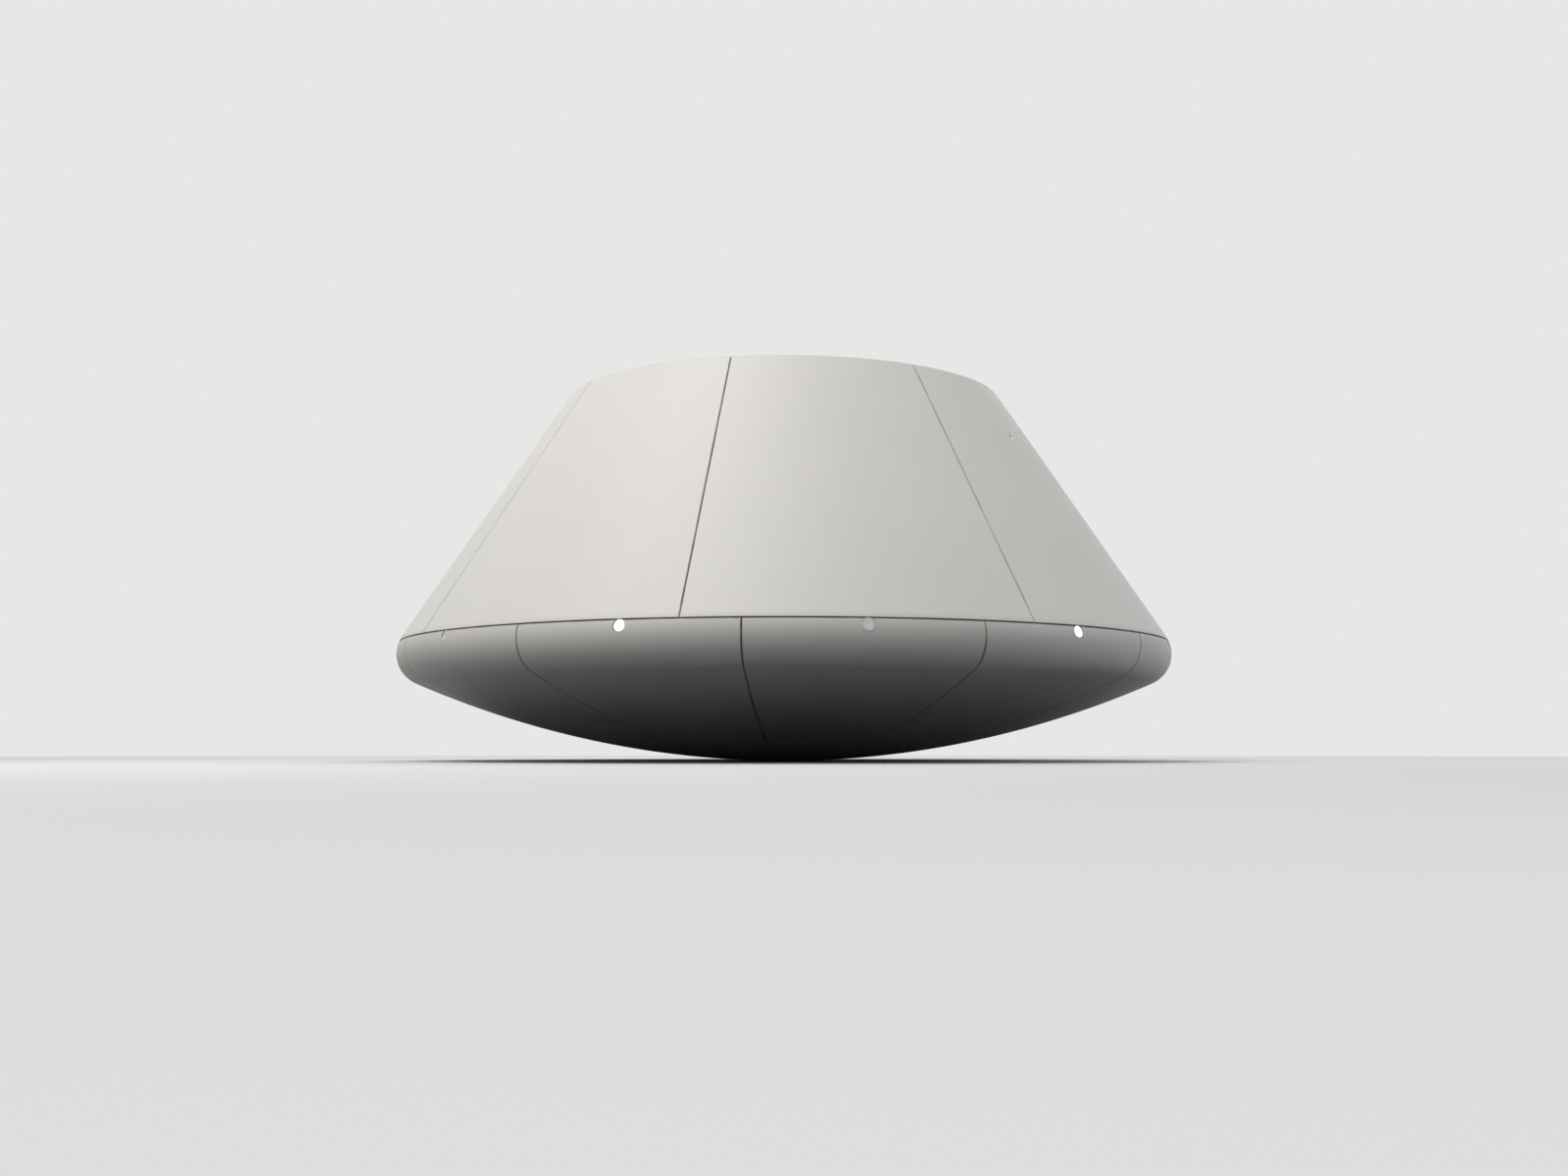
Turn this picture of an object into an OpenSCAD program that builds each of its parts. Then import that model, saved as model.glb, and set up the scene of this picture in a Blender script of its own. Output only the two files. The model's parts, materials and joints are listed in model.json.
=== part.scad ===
// Crew capsule standing on its heat shield. Millimetres, +Z up.
// The origin is the lowest point of the heat shield, on the axis of the hull.
// A bearing is an angle about +Z, counted from the front (-Y) towards +X.

/* [Outline] */
// Diameter at the widest circle of the shoulder
base_d = 5000; // [4200:50:6200]
// Diameter across the top edge
top_d = 2875; // [2500:25:3450]
// Angle of the side wall from the axis, in degrees
wall_angle = 33; // [28:0.5:36]
// Radius of the rounded shoulder in section
shoulder_r = 196; // [165:1:240]
// Spherical radius of the heat shield
dish_r = 6000; // [5000:50:7500]

/* [Heat shield] */
// Thickness of the ablator blocks
shield_t = 60; // [50:1:75]
// Thickness of the carrier shell behind the blocks
carrier_t = 50; // [30:1:60]
// Diameter of the centre disc of the shield
center_d = 2216; // [1600:8:2700]
// Bearing of the first radial seam, in degrees
gore_phase = -5; // [-15:0.5:15]
// Diameter of the metal plugs in the shoulder
plug_d = 70; // [50:1:90]
// Depth from the shoulder to the seat of a plug
plug_seat = 40; // [25:1:45]
// Height of the plug centres above the widest circle
plug_rise = 38; // [20:1:45]

/* [Back shell] */
// Thickness of the back shell panels
panel_t = 50; // [40:1:65]
// Thickness of the pressure wall behind the panels
wall_t = 50; // [40:1:70]
// Bearing of the first panel seam, in degrees
panel_phase = -12.5; // [-20:0.5:20]
// Height of the seam between shield and back shell above the widest circle
ring_rise = 71; // [60:1:85]
// Width of the open seams
seam_gap = 7; // [4:0.5:10]
// Diameter of the vent inserts
vent_d = 52; // [40:1:60]
// Bore of the vent inserts
vent_bore = 30; // [20:1:36]
// Height of the vent centres above the widest circle
vent_rise = 1300; // [1100:10:1400]

/* [Side hatch] */
// Bearing of the hatch centre, in degrees
hatch_bearing = 190; // [185:0.5:195]
// Height of the hatch centre above the cabin floor
hatch_rise = 650; // [560:5:720]
// Width of the hatch
hatch_w = 860; // [760:5:920]
// Height of the hatch along the slope of the wall
hatch_h = 960; // [860:5:1020]
// Corner radius of the hatch
hatch_corner = 180; // [120:5:240]
// Taper of the hatch edges, in degrees
hatch_taper = 12; // [10:0.5:18]
// Diameter of the hatch window
window_d = 280; // [220:5:320]
// Thickness of the window pane
pane_t = 25; // [15:1:30]
// Radius of the hinge knuckles
knuckle_r = 16; // [12:1:20]
// Diameter of the hinge pins
pin_d = 12; // [8:1:16]

/* [Top deck] */
// Thickness of the deck plate
deck_t = 60; // [40:1:80]
// Thickness of the parachute bay covers
cover_t = 30; // [20:1:40]
// Width of the beams between the covers
beam_w = 90; // [70:5:120]
// Inner diameter of the docking tunnel
tunnel_d = 800; // [700:10:860]
// Wall of the docking tunnel
tunnel_wall = 30; // [20:1:40]
// Height of the tunnel lip above the covers
lip_rise = 30; // [20:1:40]
// Thickness of the docking hatch
dock_hatch_t = 45; // [35:1:60]
// Outer diameter of the docking ring
dock_ring_d = 1280; // [1240:10:1340]
// Height of the docking ring above the covers
dock_ring_rise = 110; // [90:5:120]
// Diameter of the circle of bolts in the docking ring
bolt_circle_d = 1215; // [1190:5:1260]
// Diameter of the bolt holes in the docking ring
bolt_d = 18; // [12:1:22]
// Diameter of the bore in the lifting lugs
lug_bore = 40; // [30:1:50]

/* [Cabin] */
// Thickness of the cabin floor
floor_t = 60; // [40:1:80]
// Width of a couch
couch_w = 460; // [400:10:480]
// Spacing of the couches
couch_pitch = 520; // [500:10:560]
// Thickness of the couch shells
couch_t = 40; // [30:5:60]
// Thickness of the couch pads
pad_t = 50; // [40:5:60]

/* [Hidden] */
$fn = 256;

gore_count = 12;
panel_count = 8;
cover_count = 3;
couch_count = 4;
bolt_count = 24;
// Panels that carry a vent insert, and the panel that the side hatch is cut in
VENT_PANELS = [2, 6];
HATCH_PANEL = 5;

fit = 0.3;           // running gap between pieces that seat on each other
cut = 5;             // how far a cutting tool runs past a face
plug_clear = 1.5;    // gap round a plug in its seat
vent_recess = 1;     // how far the rim of a vent insert lies under the panel
vent_floor = 10;     // thickness of the closed end of a vent insert
block_below = 80;    // how far the hatch's volume runs past the inner face of the wall
block_above = 25;    // and past its outer face
gore_step = 360 / gore_count;
panel_step = 360 / panel_count;
cover_step = 360 / cover_count;

// Outline of the hull: the dish and the shoulder arc meet on a line through both centres.
base_r = base_d / 2;
top_r = top_d / 2;
core_r = base_r - shoulder_r;
drop = sqrt(pow(dish_r - shoulder_r, 2) - pow(core_r, 2));
wide_z = dish_r - drop;
foot_r = core_r + shoulder_r * cos(wall_angle);
foot_z = wide_z + shoulder_r * sin(wall_angle);
top_z = foot_z + (foot_r - top_r) / tan(wall_angle);
ring_z = wide_z + ring_rise;
deck_top = top_z - cover_t;
deck_low = deck_top - deck_t;
hull_t = panel_t + wall_t;
center_r = center_d / 2;

// Side hatch, in the frame of the wall at the hatch centre: X round the hull, Y up the slope, Z out
hatch_z = ring_z + hatch_rise;
hatch_edge = hatch_w / 2;
window_up = 190;
window_seat = 40;
frame_rim = 40;
frame_face = 9;
handle_up = -190;
handle_cup_r = 85;
handle_cup_depth = 60;
handle_hub_r = 26;
handle_bar_l = 130;
handle_bar_w = 26;
handle_bar_t = 20;
handle_sunk = 10;    // the bar lies this far under the wall surface
hinge_y = 270;       // the two hinges lie this far above and below the hatch centre
knuckle_l = 60;
knuckle_gap = 1;
knuckle_lift = 10;   // height of the knuckles over the wall surface
strap_t = 20;
strap_l = 130;
strap_in = 6;        // the straps end this far from the pin's axis
curve_r = wall_r(hatch_z) / cos(wall_angle);
hinge_sag = curve_r - sqrt(pow(curve_r, 2) - pow(hatch_edge, 2));
hinge_x = -(hatch_edge - hinge_sag * tan(hatch_taper) + seam_gap / 2);
hinge_out = knuckle_r + knuckle_lift - hinge_sag;

// Docking hatch and its hinge, at the rear of the tunnel
tunnel_r = tunnel_d / 2;
lip_r = tunnel_r + tunnel_wall;
lip_z = top_z + lip_rise;
dock_hatch_r = lip_r + 10;
flange_t = 20;
tunnel_drop = 60;    // how far the tunnel hangs under the deck
tunnel_flange_in = 120;  // how far its flange ends inside the docking ring's flange
dock_axis_r = dock_hatch_r + 40;
dock_axis_z = lip_z + 30;
dock_knuckle_r = 18;
dock_knuckle_l = 40;
dock_ear_t = 20;
dock_ear_gap = 1;
dock_strap_l = 100;
dock_strap_t = 18;
dock_strap_z = dock_hatch_t - 30;
dock_hinge_x = 110;  // the two hinges lie this far either side of the middle
dock_hinge_bearing = 180;
ring_flange_r = dock_ring_d / 2 + 60;
ring_wall_t = 28;
lug_r = ring_flange_r + 120;
lug_t = 30;
lug_half = 45;       // half the width of a lug, and the radius of its eye

// Radius of the outer wall surface at height z
function wall_r(z) = foot_r - (z - foot_z) * tan(wall_angle);

// Turns what is drawn along +X to a bearing
module at_bearing(bearing) {
    rotate([0, 0, bearing - 90]) children();
}

// Frame on the outer wall surface: X round the hull, Y up the slope, Z out of the wall
module on_wall(bearing, z) {
    at_bearing(bearing) translate([wall_r(z), 0, z])
        rotate([0, 90 - wall_angle, 0]) rotate([0, 0, 90]) children();
}

// Half section of the hull, in from the outer surface by depth
module half_section(depth = 0) {
    arc_r = shoulder_r - depth;
    reach = 3 * shoulder_r;
    out = [core_r, -drop] * reach / (dish_r - shoulder_r);
    intersection() {
        translate([0, dish_r]) circle(dish_r - depth);
        polygon([
            [0, -reach], [0, wide_z], [core_r, wide_z],
            [core_r + out[0], wide_z + out[1]], [core_r + out[0], -reach]
        ]);
    }
    translate([core_r, wide_z]) circle(arc_r);
    polygon([
        [0, wide_z], [core_r, wide_z],
        [core_r + arc_r * cos(wall_angle), wide_z + arc_r * sin(wall_angle)],
        [top_r - depth / cos(wall_angle), top_z], [0, top_z]
    ]);
}

// Part of the wall between two depths, from height low to high and from radius inner outwards
module wall_section(depth, depth_in, low, high, inner = 0) {
    intersection() {
        difference() {
            half_section(depth);
            half_section(depth_in);
        }
        translate([inner, low]) square([base_r + cut - inner, high - low]);
    }
}

// Turns a half section through one sector and takes half a seam off each side
module sector(start, step, gap = seam_gap) {
    difference() {
        at_bearing(start) rotate_extrude(angle = step) children();
        at_bearing(start) translate([-cut, -cut, -cut])
            cube([base_r + 2 * cut, gap / 2 + cut, top_z + 2 * cut]);
        at_bearing(start + step) translate([-cut, -gap / 2, -cut])
            cube([base_r + 2 * cut, gap / 2 + cut, top_z + 2 * cut]);
    }
}

// Rounded block with tapered sides: w by h at height 0, wider above and narrower below
module tapered_block(w, h, corner, taper, low, high, grow = 0) {
    k = tan(taper);
    side = grow / cos(taper);
    cx = w / 2 - corner;
    cy = h / 2 - corner;
    r_low = corner + side + k * low;
    r_high = corner + side + k * high;
    for (x = [-cx, cx], y = [-cy, cy]) {
        translate([x, y, low]) cylinder(h = high - low, r1 = r_low, r2 = r_high);
    }
    rotate([90, 0, 0]) translate([0, 0, -cy]) linear_extrude(2 * cy) polygon([
        [-cx - r_low, low], [cx + r_low, low], [cx + r_high, high], [-cx - r_high, high]
    ]);
    rotate([90, 0, 90]) translate([0, 0, -cx]) linear_extrude(2 * cx) polygon([
        [-cy - r_low, low], [cy + r_low, low], [cy + r_high, high], [-cy - r_high, high]
    ]);
}

// Volume that the side hatch fills, or with grow its doorway
module hatch_block(grow = 0) {
    on_wall(hatch_bearing, hatch_z)
        tapered_block(hatch_w, hatch_h, hatch_corner, hatch_taper, -hull_t - block_below, block_above, grow);
}

// Heat shield

module shield_carrier() {
    color("dimgray") rotate_extrude()
        wall_section(shield_t + fit, shield_t + carrier_t, -cut, ring_z);
}

module shield_center() {
    color("gainsboro") rotate_extrude() intersection() {
        wall_section(0, shield_t, -cut, wide_z);
        translate([0, -cut]) square([center_r - seam_gap / 2, wide_z]);
    }
}

// A place on the shoulder at a gore's middle: Z out of the shoulder, with its origin on the surface
module on_plug(gore) {
    tilt = asin(plug_rise / shoulder_r);
    at_bearing(gore_phase + gore_step * (gore - 0.5)) translate([core_r, 0, wide_z])
        rotate([0, 90 - tilt, 0]) translate([0, 0, shoulder_r]) children();
}

module shield_gore(gore) {
    color("gainsboro") difference() {
        sector(gore_phase + gore_step * (gore - 1), gore_step)
            wall_section(0, shield_t, -cut, ring_z - seam_gap / 2, center_r + seam_gap / 2);
        on_plug(gore) translate([0, 0, -plug_seat])
            cylinder(h = plug_seat + cut, d = plug_d + 2 * plug_clear);
    }
}

module shoulder_plugs() {
    recess = shoulder_r - sqrt(pow(shoulder_r, 2) - pow(plug_d / 2, 2));
    color("silver") for (gore = [1:gore_count]) {
        on_plug(gore) translate([0, 0, -plug_seat]) cylinder(h = plug_seat - recess, d = plug_d);
    }
}

// Back shell

module back_panel(panel) {
    start = panel_phase + panel_step * (panel - 1);
    middle = start + panel_step / 2;
    color("gainsboro") difference() {
        sector(start, panel_step) wall_section(0, panel_t, ring_z + seam_gap / 2, top_z);
        if (panel == HATCH_PANEL) {
            hatch_block(seam_gap);
        }
        if (len(search(panel, VENT_PANELS)) > 0) {
            on_wall(middle, wide_z + vent_rise) translate([0, 0, -panel_t - cut])
                cylinder(h = panel_t + 2 * cut, d = vent_d + 2 * fit);
        }
    }
}

// Closed cup with its rim flush in the panel
module vent_inserts() {
    color("silver") for (panel = VENT_PANELS) {
        on_wall(panel_phase + panel_step * (panel - 0.5), wide_z + vent_rise) difference() {
            translate([0, 0, -panel_t]) cylinder(h = panel_t - vent_recess, d = vent_d);
            translate([0, 0, -panel_t + vent_floor]) cylinder(h = panel_t, d = vent_bore);
        }
    }
}

module pressure_wall() {
    color("darkseagreen") difference() {
        rotate_extrude() wall_section(panel_t + fit, hull_t, ring_z, deck_low);
        hatch_block(seam_gap);
    }
}

// Cabin

module cabin_floor() {
    color("slategray") rotate_extrude() intersection() {
        half_section(shield_t + carrier_t + fit);
        translate([0, ring_z - floor_t]) square([base_r, floor_t]);
    }
}

// Reclined couch, in section along Y: back level, thighs up, calves level
couch_head_y = -750;
couch_hip_y = 150;
couch_foot_y = 570;
couch_lift = 160;
thigh_h = 380;
seat_z = ring_z + couch_lift;
calf_z = seat_z + thigh_h;

// Places each couch, side by side about the middle
module each_couch() {
    rows = couch_count - 1;
    for (i = [0:rows]) {
        translate([(i - rows / 2) * couch_pitch, 0, 0]) children();
    }
}

// A shape drawn in Y and Z, of width w across the couch
module across(w) {
    translate([w / 2, 0, 0]) rotate([90, 0, -90]) linear_extrude(w) children();
}

// Moulded shell on two side plates
module crew_couches() {
    plate_t = 24;
    inset = 60;
    plate_end = 100;
    color("gainsboro") each_couch() {
        across(couch_w) mirror([1, 0]) polygon([
            [couch_head_y, seat_z], [couch_hip_y, seat_z], [couch_hip_y, calf_z],
            [couch_foot_y, calf_z], [couch_foot_y, calf_z + couch_t],
            [couch_hip_y - couch_t, calf_z + couch_t], [couch_hip_y - couch_t, seat_z + couch_t],
            [couch_head_y, seat_z + couch_t]
        ]);
        for (x = [-couch_w / 2 + inset, couch_w / 2 - inset - plate_t]) {
            translate([x, couch_head_y + plate_end, ring_z])
                cube([plate_t, couch_hip_y - couch_head_y - 2 * plate_end, couch_lift]);
        }
    }
}

// Pads for head, back, thighs and calves
module couch_pads() {
    head_l = 180;
    head_extra = 25;
    edge = 20;
    pad_w = couch_w - 2 * edge;
    on_seat = seat_z + couch_t + fit;
    on_calf = calf_z + couch_t + fit;
    back_y = couch_head_y + edge + head_l + edge;
    thigh_y = couch_hip_y - couch_t - fit;
    // y, z, length along Y, height
    pads = [
        [couch_head_y + edge, on_seat, head_l, pad_t + head_extra],
        [back_y, on_seat, thigh_y - pad_t - edge - back_y, pad_t],
        [thigh_y - pad_t, on_seat, pad_t, thigh_h - edge],
        [thigh_y + fit + edge, on_calf, couch_foot_y - couch_hip_y + couch_t - 2 * edge, pad_t]
    ];
    color("darkslategray") each_couch() for (p = pads) {
        translate([-pad_w / 2, p[0], p[1]]) cube([pad_w, p[2], p[3]]);
    }
}

// Panel of displays hung from the deck over the couches
module display_console() {
    console_w = 1500;
    console_h = 320;
    console_t = 60;
    console_y = -330;
    console_drop = 420;
    strut_w = 40;
    strut_x = 500;
    low = deck_low - console_drop;
    high = low + console_h - cut;
    color("darkslategray") {
        translate([-console_w / 2, console_y, low]) cube([console_w, console_t, console_h]);
        for (x = [-strut_x, strut_x]) {
            translate([x - strut_w / 2, console_y, high]) cube([strut_w, strut_w, deck_low - high]);
        }
    }
}

// Side hatch

module side_hatch() {
    color("gainsboro") difference() {
        intersection() {
            at_bearing(hatch_bearing - panel_step) rotate_extrude(angle = 2 * panel_step)
                wall_section(0, hull_t, ring_z, deck_low);
            hatch_block();
        }
        on_wall(hatch_bearing, hatch_z) {
            translate([0, window_up, -2 * hull_t]) cylinder(h = 3 * hull_t, d = window_d);
            translate([0, window_up, -window_seat])
                cylinder(h = window_seat + cut, r = window_d / 2 + frame_rim + fit);
            translate([0, handle_up, -handle_cup_depth])
                cylinder(h = handle_cup_depth + cut, r = handle_cup_r);
        }
    }
}

module hatch_window_frame() {
    color("silver") on_wall(hatch_bearing, hatch_z) translate([0, window_up, -window_seat]) difference() {
        cylinder(h = window_seat - frame_face, r = window_d / 2 + frame_rim);
        translate([0, 0, -cut]) cylinder(h = window_seat + cut, d = window_d);
    }
}

module hatch_window() {
    color("lightblue") on_wall(hatch_bearing, hatch_z) translate([0, window_up, -window_seat])
        cylinder(h = pane_t, d = window_d - 2 * fit);
}

module hatch_handle() {
    post_h = handle_cup_depth - handle_bar_t - handle_sunk;
    reach = handle_bar_l - handle_bar_w;
    color("silver") on_wall(hatch_bearing, hatch_z) translate([0, handle_up, -handle_cup_depth]) {
        cylinder(h = post_h, r = handle_hub_r);
        translate([-reach / 2, 0, post_h]) {
            cylinder(h = handle_bar_t, d = handle_bar_w);
            translate([0, -handle_bar_w / 2, 0]) cube([reach, handle_bar_w, handle_bar_t]);
            translate([reach, 0, 0]) cylinder(h = handle_bar_t, d = handle_bar_w);
        }
    }
}

// Strap that follows the wall surface, from x = low to x = high at height y on the hatch frame
module hinge_strap(low, high, y, l) {
    intersection() {
        at_bearing(hatch_bearing - panel_step) rotate_extrude(angle = 2 * panel_step)
            wall_section(-strap_t, -fit, ring_z, deck_low);
        on_wall(hatch_bearing, hatch_z) translate([low, y - l / 2, -2 * hull_t])
            cube([high - low, l, 3 * hull_t]);
    }
}

module side_hinge_moving() {
    color("silver") for (y = [-hinge_y, hinge_y]) {
        difference() {
            union() {
                hinge_strap(hinge_x + strap_in, hinge_x + strap_l, y, knuckle_l);
                on_wall(hatch_bearing, hatch_z) translate([hinge_x, y + knuckle_l / 2, hinge_out])
                    rotate([90, 0, 0]) cylinder(h = knuckle_l, r = knuckle_r);
            }
            on_wall(hatch_bearing, hatch_z) translate([hinge_x, y + knuckle_l, hinge_out])
                rotate([90, 0, 0]) cylinder(h = 2 * knuckle_l, d = pin_d + 2 * fit);
        }
    }
}

module side_hinge_fixed() {
    ear = knuckle_l / 2;
    color("silver") for (y = [-hinge_y, hinge_y]) {
        for (side = [-1, 1]) {
            middle = y + side * (knuckle_l / 2 + knuckle_gap + ear / 2);
            hinge_strap(hinge_x - strap_l, hinge_x - strap_in, middle, ear);
            on_wall(hatch_bearing, hatch_z) translate([hinge_x, middle + ear / 2, hinge_out])
                rotate([90, 0, 0]) cylinder(h = ear, r = knuckle_r);
        }
        on_wall(hatch_bearing, hatch_z) translate([hinge_x, y + knuckle_l, hinge_out])
            rotate([90, 0, 0]) cylinder(h = 2 * knuckle_l, d = pin_d);
    }
}

// Top deck

module top_deck() {
    color("gray") difference() {
        union() {
            rotate_extrude() intersection() {
                half_section(panel_t + fit);
                translate([0, deck_low]) square([base_r, deck_t]);
            }
            for (i = [1:cover_count]) {
                at_bearing(cover_step * i) intersection() {
                    translate([ring_flange_r + seam_gap, -beam_w / 2, deck_top])
                        cube([top_r, beam_w, cover_t]);
                    rotate_extrude() intersection() {
                        half_section(panel_t + seam_gap);
                        translate([0, deck_top - cut]) square([base_r, cover_t + cut]);
                    }
                }
            }
        }
        translate([0, 0, deck_low - cut]) cylinder(h = deck_t + 2 * cut, r = lip_r + fit);
    }
}

module bay_cover(cover) {
    color("gainsboro") sector(cover_step * (cover - 1), cover_step, beam_w + 2 * seam_gap) intersection() {
        half_section(panel_t + seam_gap);
        translate([ring_flange_r + seam_gap, deck_top + fit]) square([base_r, cover_t - fit]);
    }
}

module docking_tunnel() {
    color("silver") rotate_extrude() {
        translate([tunnel_r, deck_low - tunnel_drop]) square([tunnel_wall, lip_z - deck_low + tunnel_drop]);
        translate([tunnel_r + 1, deck_top]) square([ring_flange_r - tunnel_flange_in - tunnel_r, flange_t]);
    }
}

module docking_ring() {
    outer = dock_ring_d / 2;
    top = top_z + dock_ring_rise;
    lip_w = 65;
    lip_t = 25;
    color("silver") difference() {
        rotate_extrude() {
            translate([outer - ring_wall_t, deck_top])
                square([ring_flange_r - outer + ring_wall_t, flange_t]);
            translate([outer - ring_wall_t, deck_top]) square([ring_wall_t, top - deck_top]);
            translate([outer - lip_w, top - lip_t]) square([lip_w, lip_t]);
        }
        for (i = [1:bolt_count]) {
            at_bearing(360 / bolt_count * (i - 0.5))
                translate([bolt_circle_d / 2, 0, deck_top + flange_t + cut])
                cylinder(h = dock_ring_rise + cover_t, d = bolt_d);
        }
    }
}

module docking_hatch() {
    color("gainsboro") translate([0, 0, lip_z]) rotate_extrude() {
        square([dock_hatch_r, dock_hatch_t]);
    }
}

module docking_hatch_wheel() {
    wheel_r = 120;
    rim_r = 12;
    spoke_r = 8;
    hub_h = 50;
    hub_r = 24;
    spoke_step = 120;
    color("silver") translate([0, 0, lip_z + dock_hatch_t]) {
        cylinder(h = hub_h, r = hub_r);
        translate([0, 0, hub_h - rim_r]) rotate_extrude() translate([wheel_r, 0]) circle(rim_r);
        for (a = [0:spoke_step:360 - spoke_step]) {
            translate([0, 0, hub_h - rim_r]) rotate([0, 90, a]) cylinder(h = wheel_r, r = spoke_r);
        }
    }
}

// Frame at the docking hatch hinge: X along the pin, Y out from the axis, Z up
module at_dock_hinge() {
    at_bearing(dock_hinge_bearing) translate([dock_axis_r, 0, dock_axis_z]) rotate([0, 0, -90]) children();
}

module dock_hinge_moving() {
    half = dock_knuckle_l / 2;
    color("silver") at_dock_hinge() for (x = [-dock_hinge_x, dock_hinge_x]) {
        difference() {
            union() {
                translate([x - half, 0, 0]) rotate([0, 90, 0])
                    cylinder(h = dock_knuckle_l, r = dock_knuckle_r);
                translate([x - half, -dock_strap_l, dock_strap_z])
                    cube([dock_knuckle_l, dock_strap_l, dock_strap_t]);
                translate([x - half, -dock_knuckle_r / 2, 0])
                    cube([dock_knuckle_l, dock_knuckle_r, dock_strap_z + dock_strap_t]);
            }
            translate([x - dock_knuckle_l, 0, 0]) rotate([0, 90, 0])
                cylinder(h = 2 * dock_knuckle_l, d = pin_d + 2 * fit);
        }
    }
}

module dock_hinge_fixed() {
    base_z = deck_top + flange_t - dock_axis_z;
    ear_x = dock_knuckle_l / 2 + dock_ear_gap + dock_ear_t / 2;
    pin_l = dock_knuckle_l + 3 * dock_ear_t;
    color("silver") at_dock_hinge() for (x = [-dock_hinge_x, dock_hinge_x]) {
        for (side = [-1, 1]) {
            translate([x + side * ear_x - dock_ear_t / 2, 0, 0]) {
                rotate([0, 90, 0]) cylinder(h = dock_ear_t, r = dock_knuckle_r);
                translate([0, -dock_knuckle_r, base_z]) cube([dock_ear_t, 2 * dock_knuckle_r, -base_z]);
            }
        }
        translate([x - pin_l / 2, 0, 0]) rotate([0, 90, 0]) cylinder(h = pin_l, d = pin_d);
    }
}

module lifting_lugs() {
    eye_z = 50;
    color("silver") for (i = [1:cover_count]) {
        at_bearing(cover_step * i) translate([lug_r, 0, top_z]) rotate([90, 0, 0]) difference() {
            union() {
                translate([-lug_half, 0, -lug_t / 2]) cube([2 * lug_half, eye_z, lug_t]);
                translate([0, eye_z, -lug_t / 2]) cylinder(h = lug_t, r = lug_half);
            }
            translate([0, eye_z, -lug_t]) cylinder(h = 2 * lug_t, d = lug_bore);
        }
    }
}

shield_carrier();
shield_center();
shield_gore(1);  // shield_gore_1
shield_gore(2);  // shield_gore_2
shield_gore(3);  // shield_gore_3
shield_gore(4);  // shield_gore_4
shield_gore(5);  // shield_gore_5
shield_gore(6);  // shield_gore_6
shield_gore(7);  // shield_gore_7
shield_gore(8);  // shield_gore_8
shield_gore(9);  // shield_gore_9
shield_gore(10);  // shield_gore_10
shield_gore(11);  // shield_gore_11
shield_gore(12);  // shield_gore_12
shoulder_plugs();
back_panel(1);  // back_panel_1
back_panel(2);  // back_panel_2
back_panel(3);  // back_panel_3
back_panel(4);  // back_panel_4
back_panel(5);  // back_panel_5
back_panel(6);  // back_panel_6
back_panel(7);  // back_panel_7
back_panel(8);  // back_panel_8
vent_inserts();
pressure_wall();
cabin_floor();
crew_couches();
couch_pads();
display_console();
side_hatch();
hatch_window();
hatch_window_frame();
hatch_handle();
side_hinge_fixed();
side_hinge_moving();
top_deck();
bay_cover(1);  // bay_cover_1
bay_cover(2);  // bay_cover_2
bay_cover(3);  // bay_cover_3
docking_tunnel();
docking_ring();
docking_hatch();
docking_hatch_wheel();
dock_hinge_fixed();
dock_hinge_moving();
lifting_lugs();
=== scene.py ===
"""Finish of a crewed capsule that stands on its heat shield.

Every length is in metres and every angle in radians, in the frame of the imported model: +Z up, with the origin
at the lowest point of the heat shield, on the axis of the hull. A bearing is an angle about +Z, counted from
the front (-Y) to +X.
"""

from __future__ import annotations

import json
import logging
import math
from dataclasses import dataclass, field
from enum import Enum
from functools import cached_property
from typing import Callable, Optional, Sequence, Union

import bmesh
import bpy
import numpy as np
from mathutils import Matrix, Vector
from mathutils.geometry import delaunay_2d_cdt

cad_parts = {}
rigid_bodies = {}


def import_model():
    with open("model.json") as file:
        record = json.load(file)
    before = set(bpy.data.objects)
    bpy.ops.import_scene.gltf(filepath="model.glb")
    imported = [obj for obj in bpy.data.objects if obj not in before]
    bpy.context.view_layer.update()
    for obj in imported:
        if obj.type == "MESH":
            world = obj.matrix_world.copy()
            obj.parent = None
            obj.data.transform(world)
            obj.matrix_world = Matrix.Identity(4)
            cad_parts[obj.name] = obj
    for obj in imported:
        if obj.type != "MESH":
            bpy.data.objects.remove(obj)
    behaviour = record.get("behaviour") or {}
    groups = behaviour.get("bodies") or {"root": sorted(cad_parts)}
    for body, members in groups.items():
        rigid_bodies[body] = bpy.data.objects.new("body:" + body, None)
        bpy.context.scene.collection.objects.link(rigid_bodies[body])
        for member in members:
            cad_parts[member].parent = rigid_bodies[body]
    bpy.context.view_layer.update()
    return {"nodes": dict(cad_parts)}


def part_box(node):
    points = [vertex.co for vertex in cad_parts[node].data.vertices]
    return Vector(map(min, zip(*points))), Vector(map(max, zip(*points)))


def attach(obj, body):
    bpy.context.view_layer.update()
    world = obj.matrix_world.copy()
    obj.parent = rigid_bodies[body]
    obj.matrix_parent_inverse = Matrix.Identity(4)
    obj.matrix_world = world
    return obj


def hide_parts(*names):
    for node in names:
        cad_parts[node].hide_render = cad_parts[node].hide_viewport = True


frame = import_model()
LOG = logging.getLogger("capsule")

Colour = tuple[float, float, float]
Points = np.ndarray
Rings = list[np.ndarray]
Term = Union[float, int, Sequence[float], "Value", bpy.types.ID, None]


# Sockets and trees


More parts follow.
